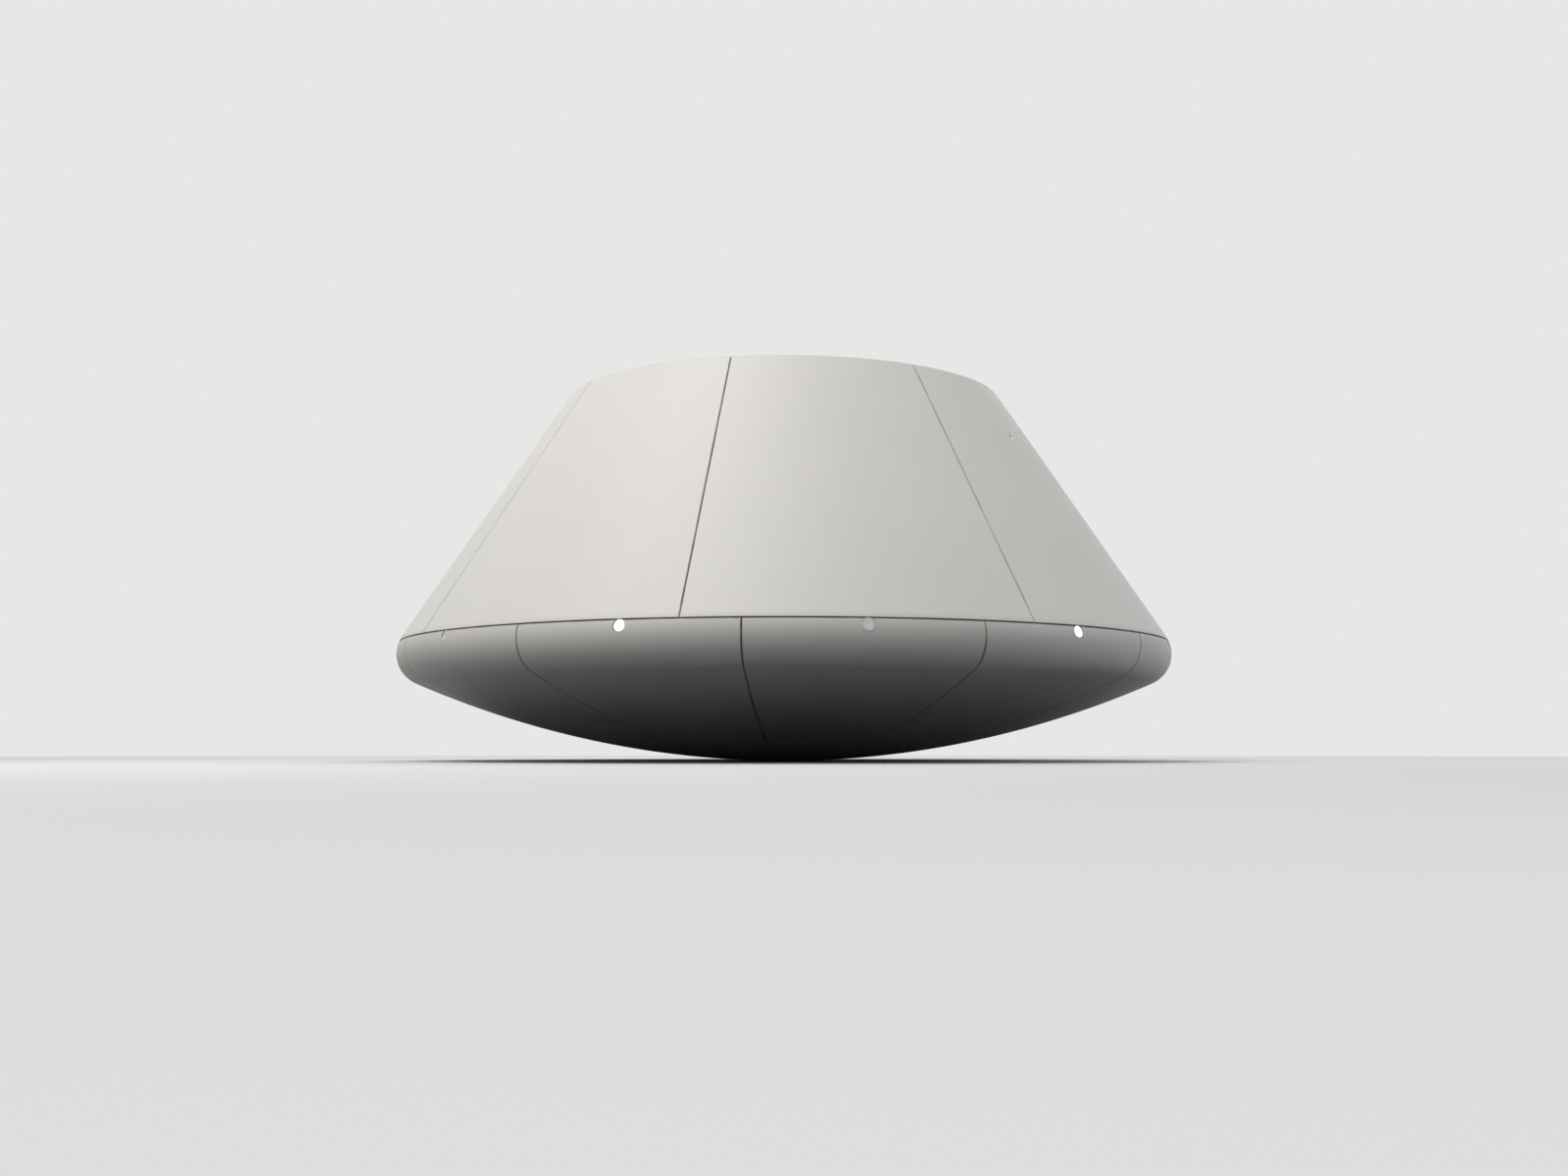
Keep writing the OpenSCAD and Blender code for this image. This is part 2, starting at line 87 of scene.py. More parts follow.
class Value:
    """A socket that takes part in arithmetic: each operator adds its Math node."""

    def __init__(self, tree: Tree, socket: Optional[bpy.types.NodeSocket]) -> None:
        """Keeps the tree and the socket."""
        self.tree = tree
        self.socket = socket

    def other(self, output: Union[int, str]) -> Value:
        """Another output of the same node."""
        return Value(self.tree, self.socket.node.outputs[output])

    def __add__(self, term: Term) -> Value:
        """self + term"""
        return self.tree.math("ADD", self, term)

    def __sub__(self, term: Term) -> Value:
        """self - term"""
        return self.tree.math("SUBTRACT", self, term)

    def __rsub__(self, term: Term) -> Value:
        """term - self"""
        return self.tree.math("SUBTRACT", term, self)

    def __mul__(self, term: Term) -> Value:
        """self * term"""
        return self.tree.math("MULTIPLY", self, term)

    def __truediv__(self, term: Term) -> Value:
        """self / term"""
        return self.tree.math("DIVIDE", self, term)

    def __neg__(self) -> Value:
        """-self"""
        return self.tree.math("MULTIPLY", self, -1)

    __radd__ = __add__
    __rmul__ = __mul__

    def least(self, term: Term) -> Value:
        """The smaller of self and term."""
        return self.tree.math("MINIMUM", self, term)

    def most(self, term: Term) -> Value:
        """The larger of self and term."""
        return self.tree.math("MAXIMUM", self, term)

    def under(self, term: Term) -> Value:
        """1 where self is less than term, else 0."""
        return self.tree.math("LESS_THAN", self, term)

    def held(self, low: float = 0.0, high: float = 1.0) -> Value:
        """self, kept between low and high."""
        return self.least(high).most(low)

    def sin(self) -> Value:
        """Sine of self."""
        return self.tree.math("SINE", self)

    def cos(self) -> Value:
        """Cosine of self."""
        return self.tree.math("COSINE", self)


class Tree:
    """A node tree, shader or geometry, that nodes are added to."""

    def __init__(self, group: bpy.types.NodeTree) -> None:
        """Keeps the tree that the nodes go into."""
        self.group = group

    def node(self, kind: str, settings: Optional[dict] = None, inputs: Optional[dict] = None,
             output: Union[int, str] = 0) -> Value:
        """Adds one node.

        Args:
            kind: the node's type.
            settings: its properties, set first. A ramp's "stops" are (position, colour) pairs.
            inputs: values or links, by the socket's name or number.
            output: the output that is returned.

        Returns:
            The output, or an empty Value where the node has none.
        """
        made = self.group.nodes.new(kind)
        for label, setting in (settings or {}).items():
            if label == "stops":
                ramp = made.color_ramp
                for number, (position, colour) in enumerate(setting):
                    stop = ramp.elements[number] if number < 2 else ramp.elements.new(position)
                    stop.position, stop.color = position, (*colour, 1.0)
            else:
                setattr(made, label, setting)
        for key, given in (inputs or {}).items():
            if isinstance(given, Value):
                self.group.links.new(given.socket, made.inputs[key])
            else:
                made.inputs[key].default_value = given
        return Value(self, made.outputs[output] if len(made.outputs) else None)

    def math(self, operation: str, *terms: Term) -> Value:
        """Adds a Math node with these terms."""
        return self.node("ShaderNodeMath", {"operation": operation}, dict(enumerate(terms)))

    def joined(self, x: Term, y: Term, z: Term) -> Value:
        """A vector from three terms."""
        return self.node("ShaderNodeCombineXYZ", None, {0: x, 1: y, 2: z})

    def split(self, vector: Value) -> tuple[Value, Value, Value]:
        """The three parts of a vector."""
        first = self.node("ShaderNodeSeparateXYZ", None, {0: vector})
        return first, first.other(1), first.other(2)

    def mix(self, factor: Term, low: Term, high: Term) -> Value:
        """A colour between low and high."""
        return self.node("ShaderNodeMix", {"data_type": "RGBA"}, {0: factor, 6: low, 7: high}, 2)

    def place(self) -> Value:
        """The object coordinates of the point that is shaded."""
        return self.node("ShaderNodeTexCoord", None, None, "Object")

    def noise(self, at: Value, scale: float, detail: float = 3.0) -> Value:
        """Noise from about -0.5 to 0.5 at a place."""
        return self.node("ShaderNodeTexNoise", None, {"Vector": at, "Scale": scale, "Detail": detail}) - 0.5

    def bump(self, height: Value, strength: float, distance: float) -> Value:
        """A normal raised by a height."""
        sockets = {"Strength": strength, "Distance": distance, "Height": height}
        return self.node("ShaderNodeBump", None, sockets)


def blank(owner: Union[bpy.types.Material, bpy.types.World]) -> Tree:
    """The emptied shader tree of a material or world."""
    owner.use_nodes = True
    owner.node_tree.nodes.clear()
    return Tree(owner.node_tree)


def tinted(colour: Colour, share: float = 1.0) -> tuple[float, float, float, float]:
    """A colour made lighter or darker by a share, with alpha."""
    return (*(min(part * share, 1.0) for part in colour), 1.0)


# Finishes


@dataclass(frozen=True)
class Finish:
    """A surface finish, with the slot of the record that it belongs to."""

    name: str
    slot: str

    def fixed(self) -> dict[str, Term]:
        """Socket values that are the same all over the surface."""
        return {}

    def varied(self, tree: Tree) -> dict[str, Term]:
        """Socket links that change over the surface."""
        return {}

    def material(self) -> bpy.types.Material:
        """The finish's material, built the first time it is asked for."""
        found = bpy.data.materials.get(self.name)
        if found:
            return found
        made = bpy.data.materials.new(self.name)
        tree = blank(made)
        shader = tree.node("ShaderNodeBsdfPrincipled", None, {**self.fixed(), **self.varied(tree)})
        tree.node("ShaderNodeOutputMaterial", None, {"Surface": shader})
        return made


@dataclass(frozen=True)
class Coating(Finish):
    """Satin off-white coating on the blocks and panels, with clouding and faint run-down marks.

    Each of a number of equal sectors, counted from a bearing, has its own tone. Worn edges are darkened,
    which also paints shade into the seams, and where asked, shade is painted in, darker towards the ground.
    """

    tone: Colour = (0.715, 0.70, 0.675)
    phase: float = 0.0
    count: int = 8
    gloss: float = 0.46
    # Tone of the darkened edges: wear, and painted shade in the seams.
    wear_and_shade_tone: Colour = (0.42, 0.40, 0.375)
    # Strength, tone, start height and gain of the painted shade, darker towards the ground.
    ground_shade: float = 0.0
    ground_shade_tone: Colour = (0.24, 0.235, 0.23)
    ground_shade_from: float = 0.61
    ground_shade_gain: float = 3.2

    def fixed(self) -> dict[str, Term]:
        """A thin satin film."""
        return {"Specular IOR Level": 0.42}

    def varied(self, tree: Tree) -> dict[str, Term]:
        """Block tone, clouds, run-down streaks, edges worn with painted seam shade, painted low shade, coat
        grain.
        """
        at = tree.place()
        x, y, z = tree.split(at)
        radius = tree.math("SQRT", x * x + y * y) + 0.001
        block = (tree.math("ARCTAN2", x, -y) - self.phase) * (self.count / math.tau)
        block = tree.math("FLOORED_MODULO", tree.math("FLOOR", block), self.count)
        own = tree.node("ShaderNodeTexWhiteNoise", {"noise_dimensions": "1D"}, {"W": block + 3.7}) - 0.5
        cloud = tree.noise(at, 1.3, 4.0)
        patch = tree.noise(at, 7.0, 5.0)
        speck = tree.noise(at, 90.0, 3.0)
        streak = tree.noise(tree.joined(x / radius * 26, y / radius * 26, z * 1.1), 2.0, 4.0)
        shade = (0.5 + cloud * 0.55 + patch * 0.22 + speck * 0.16 + streak * 0.3 + own * 0.22).held()
        colour = tree.mix(shade, tinted(self.tone, 0.945), tinted(self.tone, 1.05))
        # Edge darkening: wear on the rounded edges, and painted shade down the sides into the seams.
        edge = tree.node("ShaderNodeAttribute", {"attribute_name": "edge"}, None, "Fac")
        wear_and_shade = (edge * (0.55 + patch * 1.6)).held(0.0, 0.8)
        colour = tree.mix(wear_and_shade, colour, tinted(self.wear_and_shade_tone))
        # Painted shade: the colour darkens below a height, towards the ground, over the shoulder and the dish.
        if self.ground_shade:
            low = ((self.ground_shade_from - z) * self.ground_shade_gain).held() * (0.8 + cloud * 1.2).held()
            colour = tree.mix(low * self.ground_shade, colour, tinted(self.ground_shade_tone))
        grain = tree.noise(at, 420.0, 2.0) * 0.35 + speck * 0.8 + patch * 1.5
        return {
            "Base Color": colour,
            "Roughness": (self.gloss + cloud * 0.12 + patch * 0.1 + edge * 0.15).held(0.2, 0.9),
            "Normal": tree.bump(grain, 0.12, 0.0012),
        }


@dataclass(frozen=True)
class Metal(Finish):
    """Bare metal: turned, machined or polished, with fine tool marks and a little staining."""

    tone: Colour = (0.62, 0.62, 0.63)
    rough: float = 0.34
    marks: float = 0.10

    def fixed(self) -> dict[str, Term]:
        """All metal."""
        return {"Metallic": 1.0}

    def varied(self, tree: Tree) -> dict[str, Term]:
        """Clouded tone, and tool marks that run round the axis of the hull."""
        at = tree.place()
        x, y, z = tree.split(at)
        stain = tree.noise(at, 14.0, 4.0)
        marks = tree.noise(tree.joined(tree.math("SQRT", x * x + y * y) * 9, z * 9, x * 0.4), 60.0, 2.0)
        shade = (0.5 + stain * 1.3 + marks * 0.4).held()
        return {
            "Base Color": tree.mix(shade, tinted(self.tone, 0.86), tinted(self.tone, 1.1)),
            "Roughness": (self.rough + stain * 0.12 + marks * self.marks).held(0.06, 0.9),
            "Normal": tree.bump(marks * 0.7 + stain, 0.06, 0.0008),
        }


@dataclass(frozen=True)
class Matt(Finish):
    """Moulded plastic, paint, rubber or a dark carrier, with a moulded grain and rubbed patches."""

    tone: Colour = (0.1, 0.1, 0.1)
    rough: float = 0.6
    grain: float = 260.0
    depth: float = 0.2

    def varied(self, tree: Tree) -> dict[str, Term]:
        """Clouded tone, uneven gloss and a fine pebbled grain."""
        at = tree.place()
        cloud = tree.noise(at, 6.0, 5.0)
        grain = tree.noise(at, self.grain, 2.0)
        shade = (0.5 + cloud * 1.1 + grain * 0.4).held()
        return {
            "Base Color": tree.mix(shade, tinted(self.tone, 0.8), tinted(self.tone, 1.2)),
            "Roughness": (self.rough + cloud * 0.2 + grain * 0.1).held(0.08, 1.0),
            "Normal": tree.bump(grain, self.depth, 0.0008),
        }


@dataclass(frozen=True)
class Fabric(Finish):
    """Woven upholstery cloth: crossed threads, so many radians of them to the metre, with a soft nap."""

    tone: Colour = (0.075, 0.085, 0.10)
    threads: float = 1500.0

    def fixed(self) -> dict[str, Term]:
        """A soft nap."""
        return {"Sheen Weight": 0.35, "Sheen Roughness": 0.5}

    def varied(self, tree: Tree) -> dict[str, Term]:
        """Warp and weft, wavy at the scale of the thread, under faded patches."""
        at = tree.place()
        x, y, z = tree.split(at)
        warp = (x * self.threads).sin()
        weft = ((y + z) * self.threads).sin()
        thread = warp * weft * 0.5 + 0.5
        fade = tree.noise(at, 9.0, 5.0)
        shade = (thread * 0.6 + 0.2 + fade * 0.9).held()
        return {
            "Base Color": tree.mix(shade, tinted(self.tone, 0.55), tinted(self.tone, 1.6)),
            "Roughness": (0.82 + fade * 0.2).held(0.5, 1.0),
            "Normal": tree.bump(thread + fade, 0.35, 0.0006),
        }


@dataclass(frozen=True)
class Glass(Finish):
    """Thick coated glass."""

    tone: Colour = (0.78, 0.86, 0.86)

    def fixed(self) -> dict[str, Term]:
        """Clear, with a faint green cast."""
        return {"Transmission Weight": 0.92, "IOR": 1.5, "Base Color": tinted(self.tone)}

    def varied(self, tree: Tree) -> dict[str, Term]:
        """Faint smears."""
        return {"Roughness": (0.03 + tree.noise(tree.place(), 11.0, 4.0) * 0.05).held(0.01, 0.1)}


@dataclass(frozen=True)
class Screen(Finish):
    """Dark glass of a display that is off, with a faint grid of cells."""

    tone: Colour = (0.012, 0.016, 0.02)
    cells: float = 900.0

    def fixed(self) -> dict[str, Term]:
        """Clear top coat."""
        return {"Coat Roughness": 0.05}

    def varied(self, tree: Tree) -> dict[str, Term]:
        """A faint lattice under the glass, and smears on it."""
        at = tree.place()
        x, _, z = tree.split(at)
        cells = (x * self.cells).sin() * (z * self.cells).sin() * 0.5 + 0.5
        smear = tree.noise(at, 12.0, 4.0)
        return {
            "Base Color": tree.mix(cells, tinted(self.tone, 0.8), tinted(self.tone, 2.2)),
            "Roughness": (0.12 + smear * 0.15).held(0.04, 0.4),
            "Coat Weight": (0.7 + smear * 0.4).held(),
        }


# Bearing of the first seam and number of sectors, of the wall and of the shield. The covers start at the
# front.
WALL_PHASE = math.radians(-12.5)
WALL_PANELS = 8
SHIELD_PHASE = math.radians(-5)
SHIELD_BLOCKS = 12
BAY_COVERS = 3

SHELL = Coating("shell_coating", "hull_coating", phase=WALL_PHASE, count=WALL_PANELS)
# The shield's coating has painted shade towards the ground.
SHIELD = Coating("shield_block_coating", "shield_coating", tone=(0.655, 0.64, 0.615), phase=SHIELD_PHASE,
                 count=SHIELD_BLOCKS, gloss=0.52, ground_shade=0.55)
DECK = Coating("deck_cover_coating", "deck_coating", tone=(0.66, 0.65, 0.63), count=BAY_COVERS, gloss=0.52)
PLUG_METAL = Metal("polished_plug_metal", "polished_metal", tone=(0.56, 0.565, 0.57), rough=0.14, marks=0.05)
MACHINED = Metal("machined_alloy", "machined_metal")
FIXINGS = Metal("plated_screw_metal", "machined_metal", tone=(0.36, 0.362, 0.365), rough=0.42, marks=0.12)
STRUCTURE = Metal("deck_structure_alloy", "deck_structure", tone=(0.36, 0.365, 0.37), rough=0.48, marks=0.15)
CARRIER = Matt("carrier_dark", "seam_filler", tone=(0.02, 0.02, 0.021), rough=0.8)
LINING = Matt("cabin_lining_paint", "cabin_lining", tone=(0.40, 0.43, 0.40), rough=0.62, grain=180.0)
FLOORING = Matt("cabin_floor_panel", "floor_panel", tone=(0.16, 0.17, 0.18), rough=0.58, grain=120.0,
                depth=0.4)
COUCH_SHELL = Matt("couch_shell_composite", "couch_shell", tone=(0.52, 0.52, 0.51), rough=0.42, grain=300.0)
FABRIC = Fabric("couch_weave", "couch_fabric")
PLASTIC = Matt("console_moulding", "console_plastic", tone=(0.055, 0.058, 0.062), rough=0.5)
RUBBER = Matt("seal_rubber", "seam_filler", tone=(0.018, 0.018, 0.019), rough=0.72, grain=400.0)
GLASS = Glass("window_pane_glass", "window_glass")
SCREEN = Screen("display_glass", "console_plastic")


class Body(str, Enum):
    """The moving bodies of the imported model."""

    CAPSULE = "capsule"
    SIDE_HATCH = "side_hatch_body"
    DOCKING_HATCH = "docking_hatch_body"


# Meshes


# How near two points are joined, how flat an edge is dissolved, and how sharp one is rounded.
WELD = 2e-5
FLAT = math.radians(0.35)
CORNER = math.radians(28)


def meshed(name: str, points: Sequence, faces: Sequence = (), edges: Sequence = ()) -> bpy.types.Mesh:
    """A mesh from points, faces and edges."""
    mesh = bpy.data.meshes.new(name)
    mesh.from_pydata([tuple(map(float, point)) for point in points], list(edges), list(faces))
    mesh.update()
    return mesh


def labelled(mesh: bpy.types.Mesh, label: str, kind: str, values: Points) -> None:
    """Stores one value for each point of a mesh under a name."""
    layer = mesh.attributes.new(label, kind, "POINT")
    layer.data.foreach_set("vector" if kind == "FLOAT_VECTOR" else "value", np.asarray(values).ravel())


def rounded_off(mesh: bpy.types.Mesh, angle: float = 35.0) -> bpy.types.Mesh:
    """Smooth shading, with edges sharper than an angle in degrees kept sharp."""
    mesh.shade_smooth()
    mesh.set_sharp_from_angle(angle=math.radians(angle))
    return mesh


def finished(work: bmesh.types.BMesh, name: str) -> bpy.types.Mesh:
    """A mesh from a BMesh, which is freed."""
    mesh = bpy.data.meshes.new(name)
    work.to_mesh(mesh)
    work.free()
    return mesh


def linked(name: str, mesh: bpy.types.Mesh) -> bpy.types.Object:
    """An object at the origin that shows a mesh."""
    made = bpy.data.objects.new(name, mesh)
    bpy.context.scene.collection.objects.link(made)
    return made


def evaluated(carrier: bpy.types.Object, name: str) -> bpy.types.Mesh:
    """The mesh of an object with its modifiers applied. The object is removed."""
    bpy.context.view_layer.update()
    graph = bpy.context.evaluated_depsgraph_get()
    mesh = bpy.data.meshes.new_from_object(carrier.evaluated_get(graph), depsgraph=graph)
    mesh.name = name
    carrier.modifiers.clear()
    bpy.data.objects.remove(carrier)
    return mesh


def piece(name: str, mesh: bpy.types.Mesh, finish: Finish, body: Body, *nodes: str) -> bpy.types.Object:
    """Makes a finished piece that rides on a body.

    Args:
        name: name of the piece.
        mesh: its mesh, in place.
        finish: its finish.
        body: the body that it moves with.
        nodes: CAD nodes that it stands for.

    Returns:
        The piece.
    """
    mesh.materials.clear()
    mesh.materials.append(finish.material())
    made = linked(name, mesh)
    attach(made, body.value)
    if nodes:
        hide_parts(*nodes)
    LOG.info("%s: %d faces, on %s", name, len(mesh.polygons), body.value)
    return made


def merged(node: str) -> bmesh.types.BMesh:
    """A copy of a CAD node's mesh, with its loose triangles joined and flat ones dissolved."""
    work = bmesh.new()
    work.from_mesh(frame["nodes"][node].data)
    bmesh.ops.remove_doubles(work, verts=work.verts, dist=WELD)
    bmesh.ops.dissolve_limit(work, angle_limit=FLAT, verts=work.verts, edges=work.edges)
    return work


def eased(node: str, name: str, edge: float, finish: Finish, body: Body,
          segments: int = 2) -> bpy.types.Object:
    """Stands for a CAD node with the same shape, its sharp edges rounded as a maker eases them.

    Args:
        node: the CAD node.
        name: name of the piece.
        edge: width of the rounding; 0 leaves the edges.
        finish: its finish.
        body: the body that it moves with.
        segments: steps of the rounding.

    Returns:
        The piece.
    """
    mesh = rounded_off(finished(merged(node), name))
    if edge:
        carrier = linked(name + "_blank", mesh)
        bevel = carrier.modifiers.new("ease", "BEVEL")
        bevel.width, bevel.segments = edge, segments
        bevel.limit_method, bevel.angle_limit = "ANGLE", CORNER
        bevel.miter_outer = "MITER_ARC"
        carrier.modifiers.new("flats", "WEIGHTED_NORMAL").keep_sharp = True
        mesh = evaluated(carrier, name)
    return piece(name, mesh, finish, body, node)


def lathed(name: str, profile: Sequence[tuple[float, float]], steps: int = 96) -> bpy.types.Mesh:
    """A closed turned shape about +Z.

    Args:
        name: name of the mesh.
        profile: (radius, height) from the lower middle, round the outside, to the upper middle.
        steps: steps round the axis.

    Returns:
        The mesh.
    """
    points: list[tuple[float, float, float]] = []
    rings: list[list[int]] = []
    for radius, height in profile:
        count = steps if radius > 0 else 1
        rings.append(list(range(len(points), len(points) + count)))
        turns = [math.tau * step / steps for step in range(count)]
        points += [(radius * math.cos(turn), radius * math.sin(turn), height) for turn in turns]
    faces = []
    for low, high in zip(rings, rings[1:]):
        for step in range(steps):
            after = (step + 1) % steps
            corners = [low[step % len(low)], low[after % len(low)],
                       high[after % len(high)], high[step % len(high)]]
            faces.append(list(dict.fromkeys(corners)))
    return meshed(name, points, [face for face in faces if len(face) > 2])


# Geometry Nodes


class Recipe:
    """A Geometry Nodes tree with named inputs, which ends in Realize Instances and Set Material."""

    def __init__(self, name: str, inputs: dict[str, str]) -> None:
        """Starts the tree.

        Args:
            name: name of the tree.
            inputs: type of each input's socket, by its name.
        """
        self.group = bpy.data.node_groups.new(name, "GeometryNodeTree")
        self.tree = Tree(self.group)
        sockets = {"Geometry": "NodeSocketGeometry", **inputs, "Material": "NodeSocketMaterial"}
        self.ids = {
            label: self.group.interface.new_socket(name=label, in_out="INPUT", socket_type=kind).identifier
            for label, kind in sockets.items()
        }
        self.group.interface.new_socket(name="Geometry", in_out="OUTPUT", socket_type="NodeSocketGeometry")
        self.entry = self.tree.node("NodeGroupInput")

    def given(self, label: str) -> Value:
        """An input of the tree."""
        return self.entry.other(label)

    def close(self, geometry: Value) -> None:
        """Ends the tree with this geometry."""
        real = self.tree.node("GeometryNodeRealizeInstances", None, {0: geometry})
        inputs = {"Geometry": real, "Material": self.given("Material")}
        dressed = self.tree.node("GeometryNodeSetMaterial", None, inputs)
        self.tree.node("NodeGroupOutput", None, {0: dressed})

    def cooked(self, name: str, mesh: bpy.types.Mesh, finish: Finish,
               settings: dict[str, Term]) -> bpy.types.Mesh:
        """Runs the tree on a mesh.

        Args:
            name: name of the new mesh.
            mesh: what goes in.
            finish: the finish that the tree sets.
            settings: values of the other inputs, by name.

        Returns:
            A plain mesh.
        """
        carrier = bpy.data.objects.new(name + "_pattern", mesh)
        modifier = carrier.modifiers.new(self.group.name, "NODES")
        modifier.node_group = self.group
        modifier[self.ids["Material"]] = finish.material()
        for label, value in settings.items():
            modifier[self.ids[label]] = value
        bpy.context.scene.collection.objects.link(carrier)
        return evaluated(carrier, name)


# Hull


TINY = 1e-12
CLOSE = 1e-7


@dataclass(frozen=True)
class Spot:
    """A place on the outer surface, with axes round the hull, up the slope and outwards."""

    bearing: float
    radius: float
    height: float
    lean: float

    @cached_property
    def axes(self) -> Points:
        """Rows: round the hull, up the slope, outwards."""
        sine, cosine = math.sin(self.bearing), math.cos(self.bearing)
        up, out = math.sin(self.lean), math.cos(self.lean)
        return np.array([[cosine, sine, 0], [-up * sine, up * cosine, out], [out * sine, -out * cosine, up]])

    def world(self, local: Points) -> Points:
        """Points of this frame, in the frame of the model."""
        origin = [self.radius * math.sin(self.bearing), -self.radius * math.cos(self.bearing), self.height]
        return np.asarray(local, float) @ self.axes + origin


@dataclass(frozen=True)
class HullForm:
    """Outline of the hull: dished shield, rounded shoulder and straight side wall.

    A place on the hull is (bearing, run, depth): run is the length along the outer surface from the lowest
    point, and depth is the distance in from that surface.
    """

    base_r: float = 2.5
    top_r: float = 1.4375
    wall: float = math.radians(33)
    shoulder: float = 0.196
    dish: float = 6.0
    ring_rise: float = 0.071
    gap: float = 0.007
    shield_t: float = 0.06
    panel_t: float = 0.05
    hull_t: float = 0.1

    @cached_property
    def core(self) -> float:
        """Radius of the circle through the shoulder arc's centre."""
        return self.base_r - self.shoulder

    @cached_property
    def wide_z(self) -> float:
        """Height of the widest circle."""
        return self.dish - math.sqrt((self.dish - self.shoulder) ** 2 - self.core ** 2)

    @cached_property
    def ring_z(self) -> float:
        """Height of the seam between shield and back shell."""
        return self.wide_z + self.ring_rise

    @cached_property
    def top_z(self) -> float:
        """Height of the top edge."""
        foot_r = self.core + self.shoulder * math.cos(self.wall)
        foot_z = self.wide_z + self.shoulder * math.sin(self.wall)
        return foot_z + (foot_r - self.top_r) / math.tan(self.wall)

    @cached_property
    def tilt_dish(self) -> float:
        """Tilt of the surface where the dish meets the shoulder."""
        return math.asin(self.core / (self.dish - self.shoulder))

    @cached_property
    def tilt_wall(self) -> float:
        """Tilt of the side wall."""
        return math.pi / 2 + self.wall

    @cached_property
    def run_shoulder(self) -> float:
        """Run at the start of the shoulder."""
        return self.dish * self.tilt_dish

    @cached_property
    def run_wall(self) -> float:
        """Run at the start of the side wall."""
        return self.run_shoulder + self.shoulder * (self.tilt_wall - self.tilt_dish)

    def section(self, run: Points, depth: Points) -> tuple[Points, Points]:
        """Radius and height at a run and a depth."""
        bend = np.clip((run - self.run_shoulder) / self.shoulder, 0, self.tilt_wall - self.tilt_dish)
        tilt = np.minimum(run / self.dish, self.tilt_dish) + bend
        on_dish = run < self.run_shoulder
        arc = np.where(on_dish, self.dish, self.shoulder) - depth
        beyond = np.maximum(run - self.run_wall, 0)
        radius = np.where(on_dish, 0, self.core) + arc * np.sin(tilt) - beyond * math.sin(self.wall)
        height = np.where(on_dish, self.dish, self.wide_z) - arc * np.cos(tilt) + beyond * math.cos(self.wall)
        return radius, height

    def point(self, places: Points) -> Points:
        """Points of the model at places."""
        bearing, run, depth = places.T
        radius, height = self.section(run, depth)
        return np.stack([radius * np.sin(bearing), -radius * np.cos(bearing), height], 1)

    def apart(self, points: Points) -> tuple[Points, Points, Points, Points]:
        """How points lie to the shoulder arc's centre.

        Args:
            points: points of the model.

        Returns:
            Their radius, the distances out and up from the centre, and the distance up the wall from the arc.
        """
        x, y, z = np.asarray(points, float).T
        radius = np.hypot(x, y)
        side, rise = radius - self.core, z - self.wide_z
        return radius, side, rise, rise * math.cos(self.wall) - side * math.sin(self.wall)

    def below(self, side: Points, rise: Points, beyond: Points) -> Points:
        """Depth of points under the shoulder or, where they lie beyond the arc, under the wall."""
        under = side * math.cos(self.wall) + rise * math.sin(self.wall)
        return self.shoulder - np.where(beyond > 0, under, np.hypot(side, rise))

    def locate(self, points: Points, near: float) -> Points:
        """Places of points of the model.

        Args:
            points: points on or under the surface.
            near: a bearing within half a turn of all of them.

        Returns:
            (bearing, run, depth) of each.
        """
        x, y, _ = np.asarray(points, float).T
        bearing = near + (np.arctan2(x, -y) - near + math.pi) % math.tau - math.pi
        _, side, rise, beyond = self.apart(points)
        bend = self.shoulder * (np.arctan2(side, -rise) - self.tilt_dish)
        run = np.where(beyond > 0, self.run_wall + beyond, self.run_shoulder + bend)
        return np.stack([bearing, run, self.below(side, rise, beyond)], 1)

    def normals(self, points: Points) -> Points:
        """Outward normals of points on the outer surface."""
        x, y, z = np.asarray(points, float).T
        radius, side, rise, beyond = self.apart(points)
        wall = beyond > 0
        tilt = np.where(wall, self.tilt_wall, np.arctan2(side, -rise))
        tilt = np.where(~wall & (tilt < self.tilt_dish), np.arctan2(radius, self.dish - z), tilt)
        out = np.sin(tilt) / np.maximum(radius, CLOSE)
        return np.stack([x * out, y * out, -np.cos(tilt)], 1)

    def depth(self, points: Points) -> Points:
        """Depths of points under the outer surface."""
        radius, side, rise, beyond = self.apart(points)
        on_dish = (beyond <= 0) & (np.arctan2(side, -rise) < self.tilt_dish)
        under_dish = self.dish - np.hypot(radius, self.dish - self.wide_z - rise)
        return np.where(on_dish, under_dish, self.below(side, rise, beyond))

    def run_at_height(self, height: float, depth: float) -> float:
        """Run of the place at a height, on the shoulder or the wall."""
        arc = self.shoulder - depth
        beyond = (height - self.wide_z - arc * math.sin(self.wall)) / math.cos(self.wall)
        if beyond > 0:
            return self.run_wall + beyond
        return self.run_shoulder + self.shoulder * (math.acos((self.wide_z - height) / arc) - self.tilt_dish)

    def run_at_radius(self, radius: float, depth: float) -> float:
        """Run of the place at a radius, on the dish."""
        return self.dish * math.asin(radius / (self.dish - depth))

    def on_wall(self, bearing: float, height: float) -> Spot:
        """A spot on the side wall."""
        radius = self.top_r + (self.top_z - height) * math.tan(self.wall)
        return Spot(bearing, radius, height, self.wall)

    def on_shoulder(self, bearing: float, rise: float) -> Spot:
        """A spot on the shoulder, a rise above the widest circle."""
        lean = math.asin(rise / self.shoulder)
        return Spot(bearing, self.core + self.shoulder * math.cos(lean), self.wide_z + rise, lean)

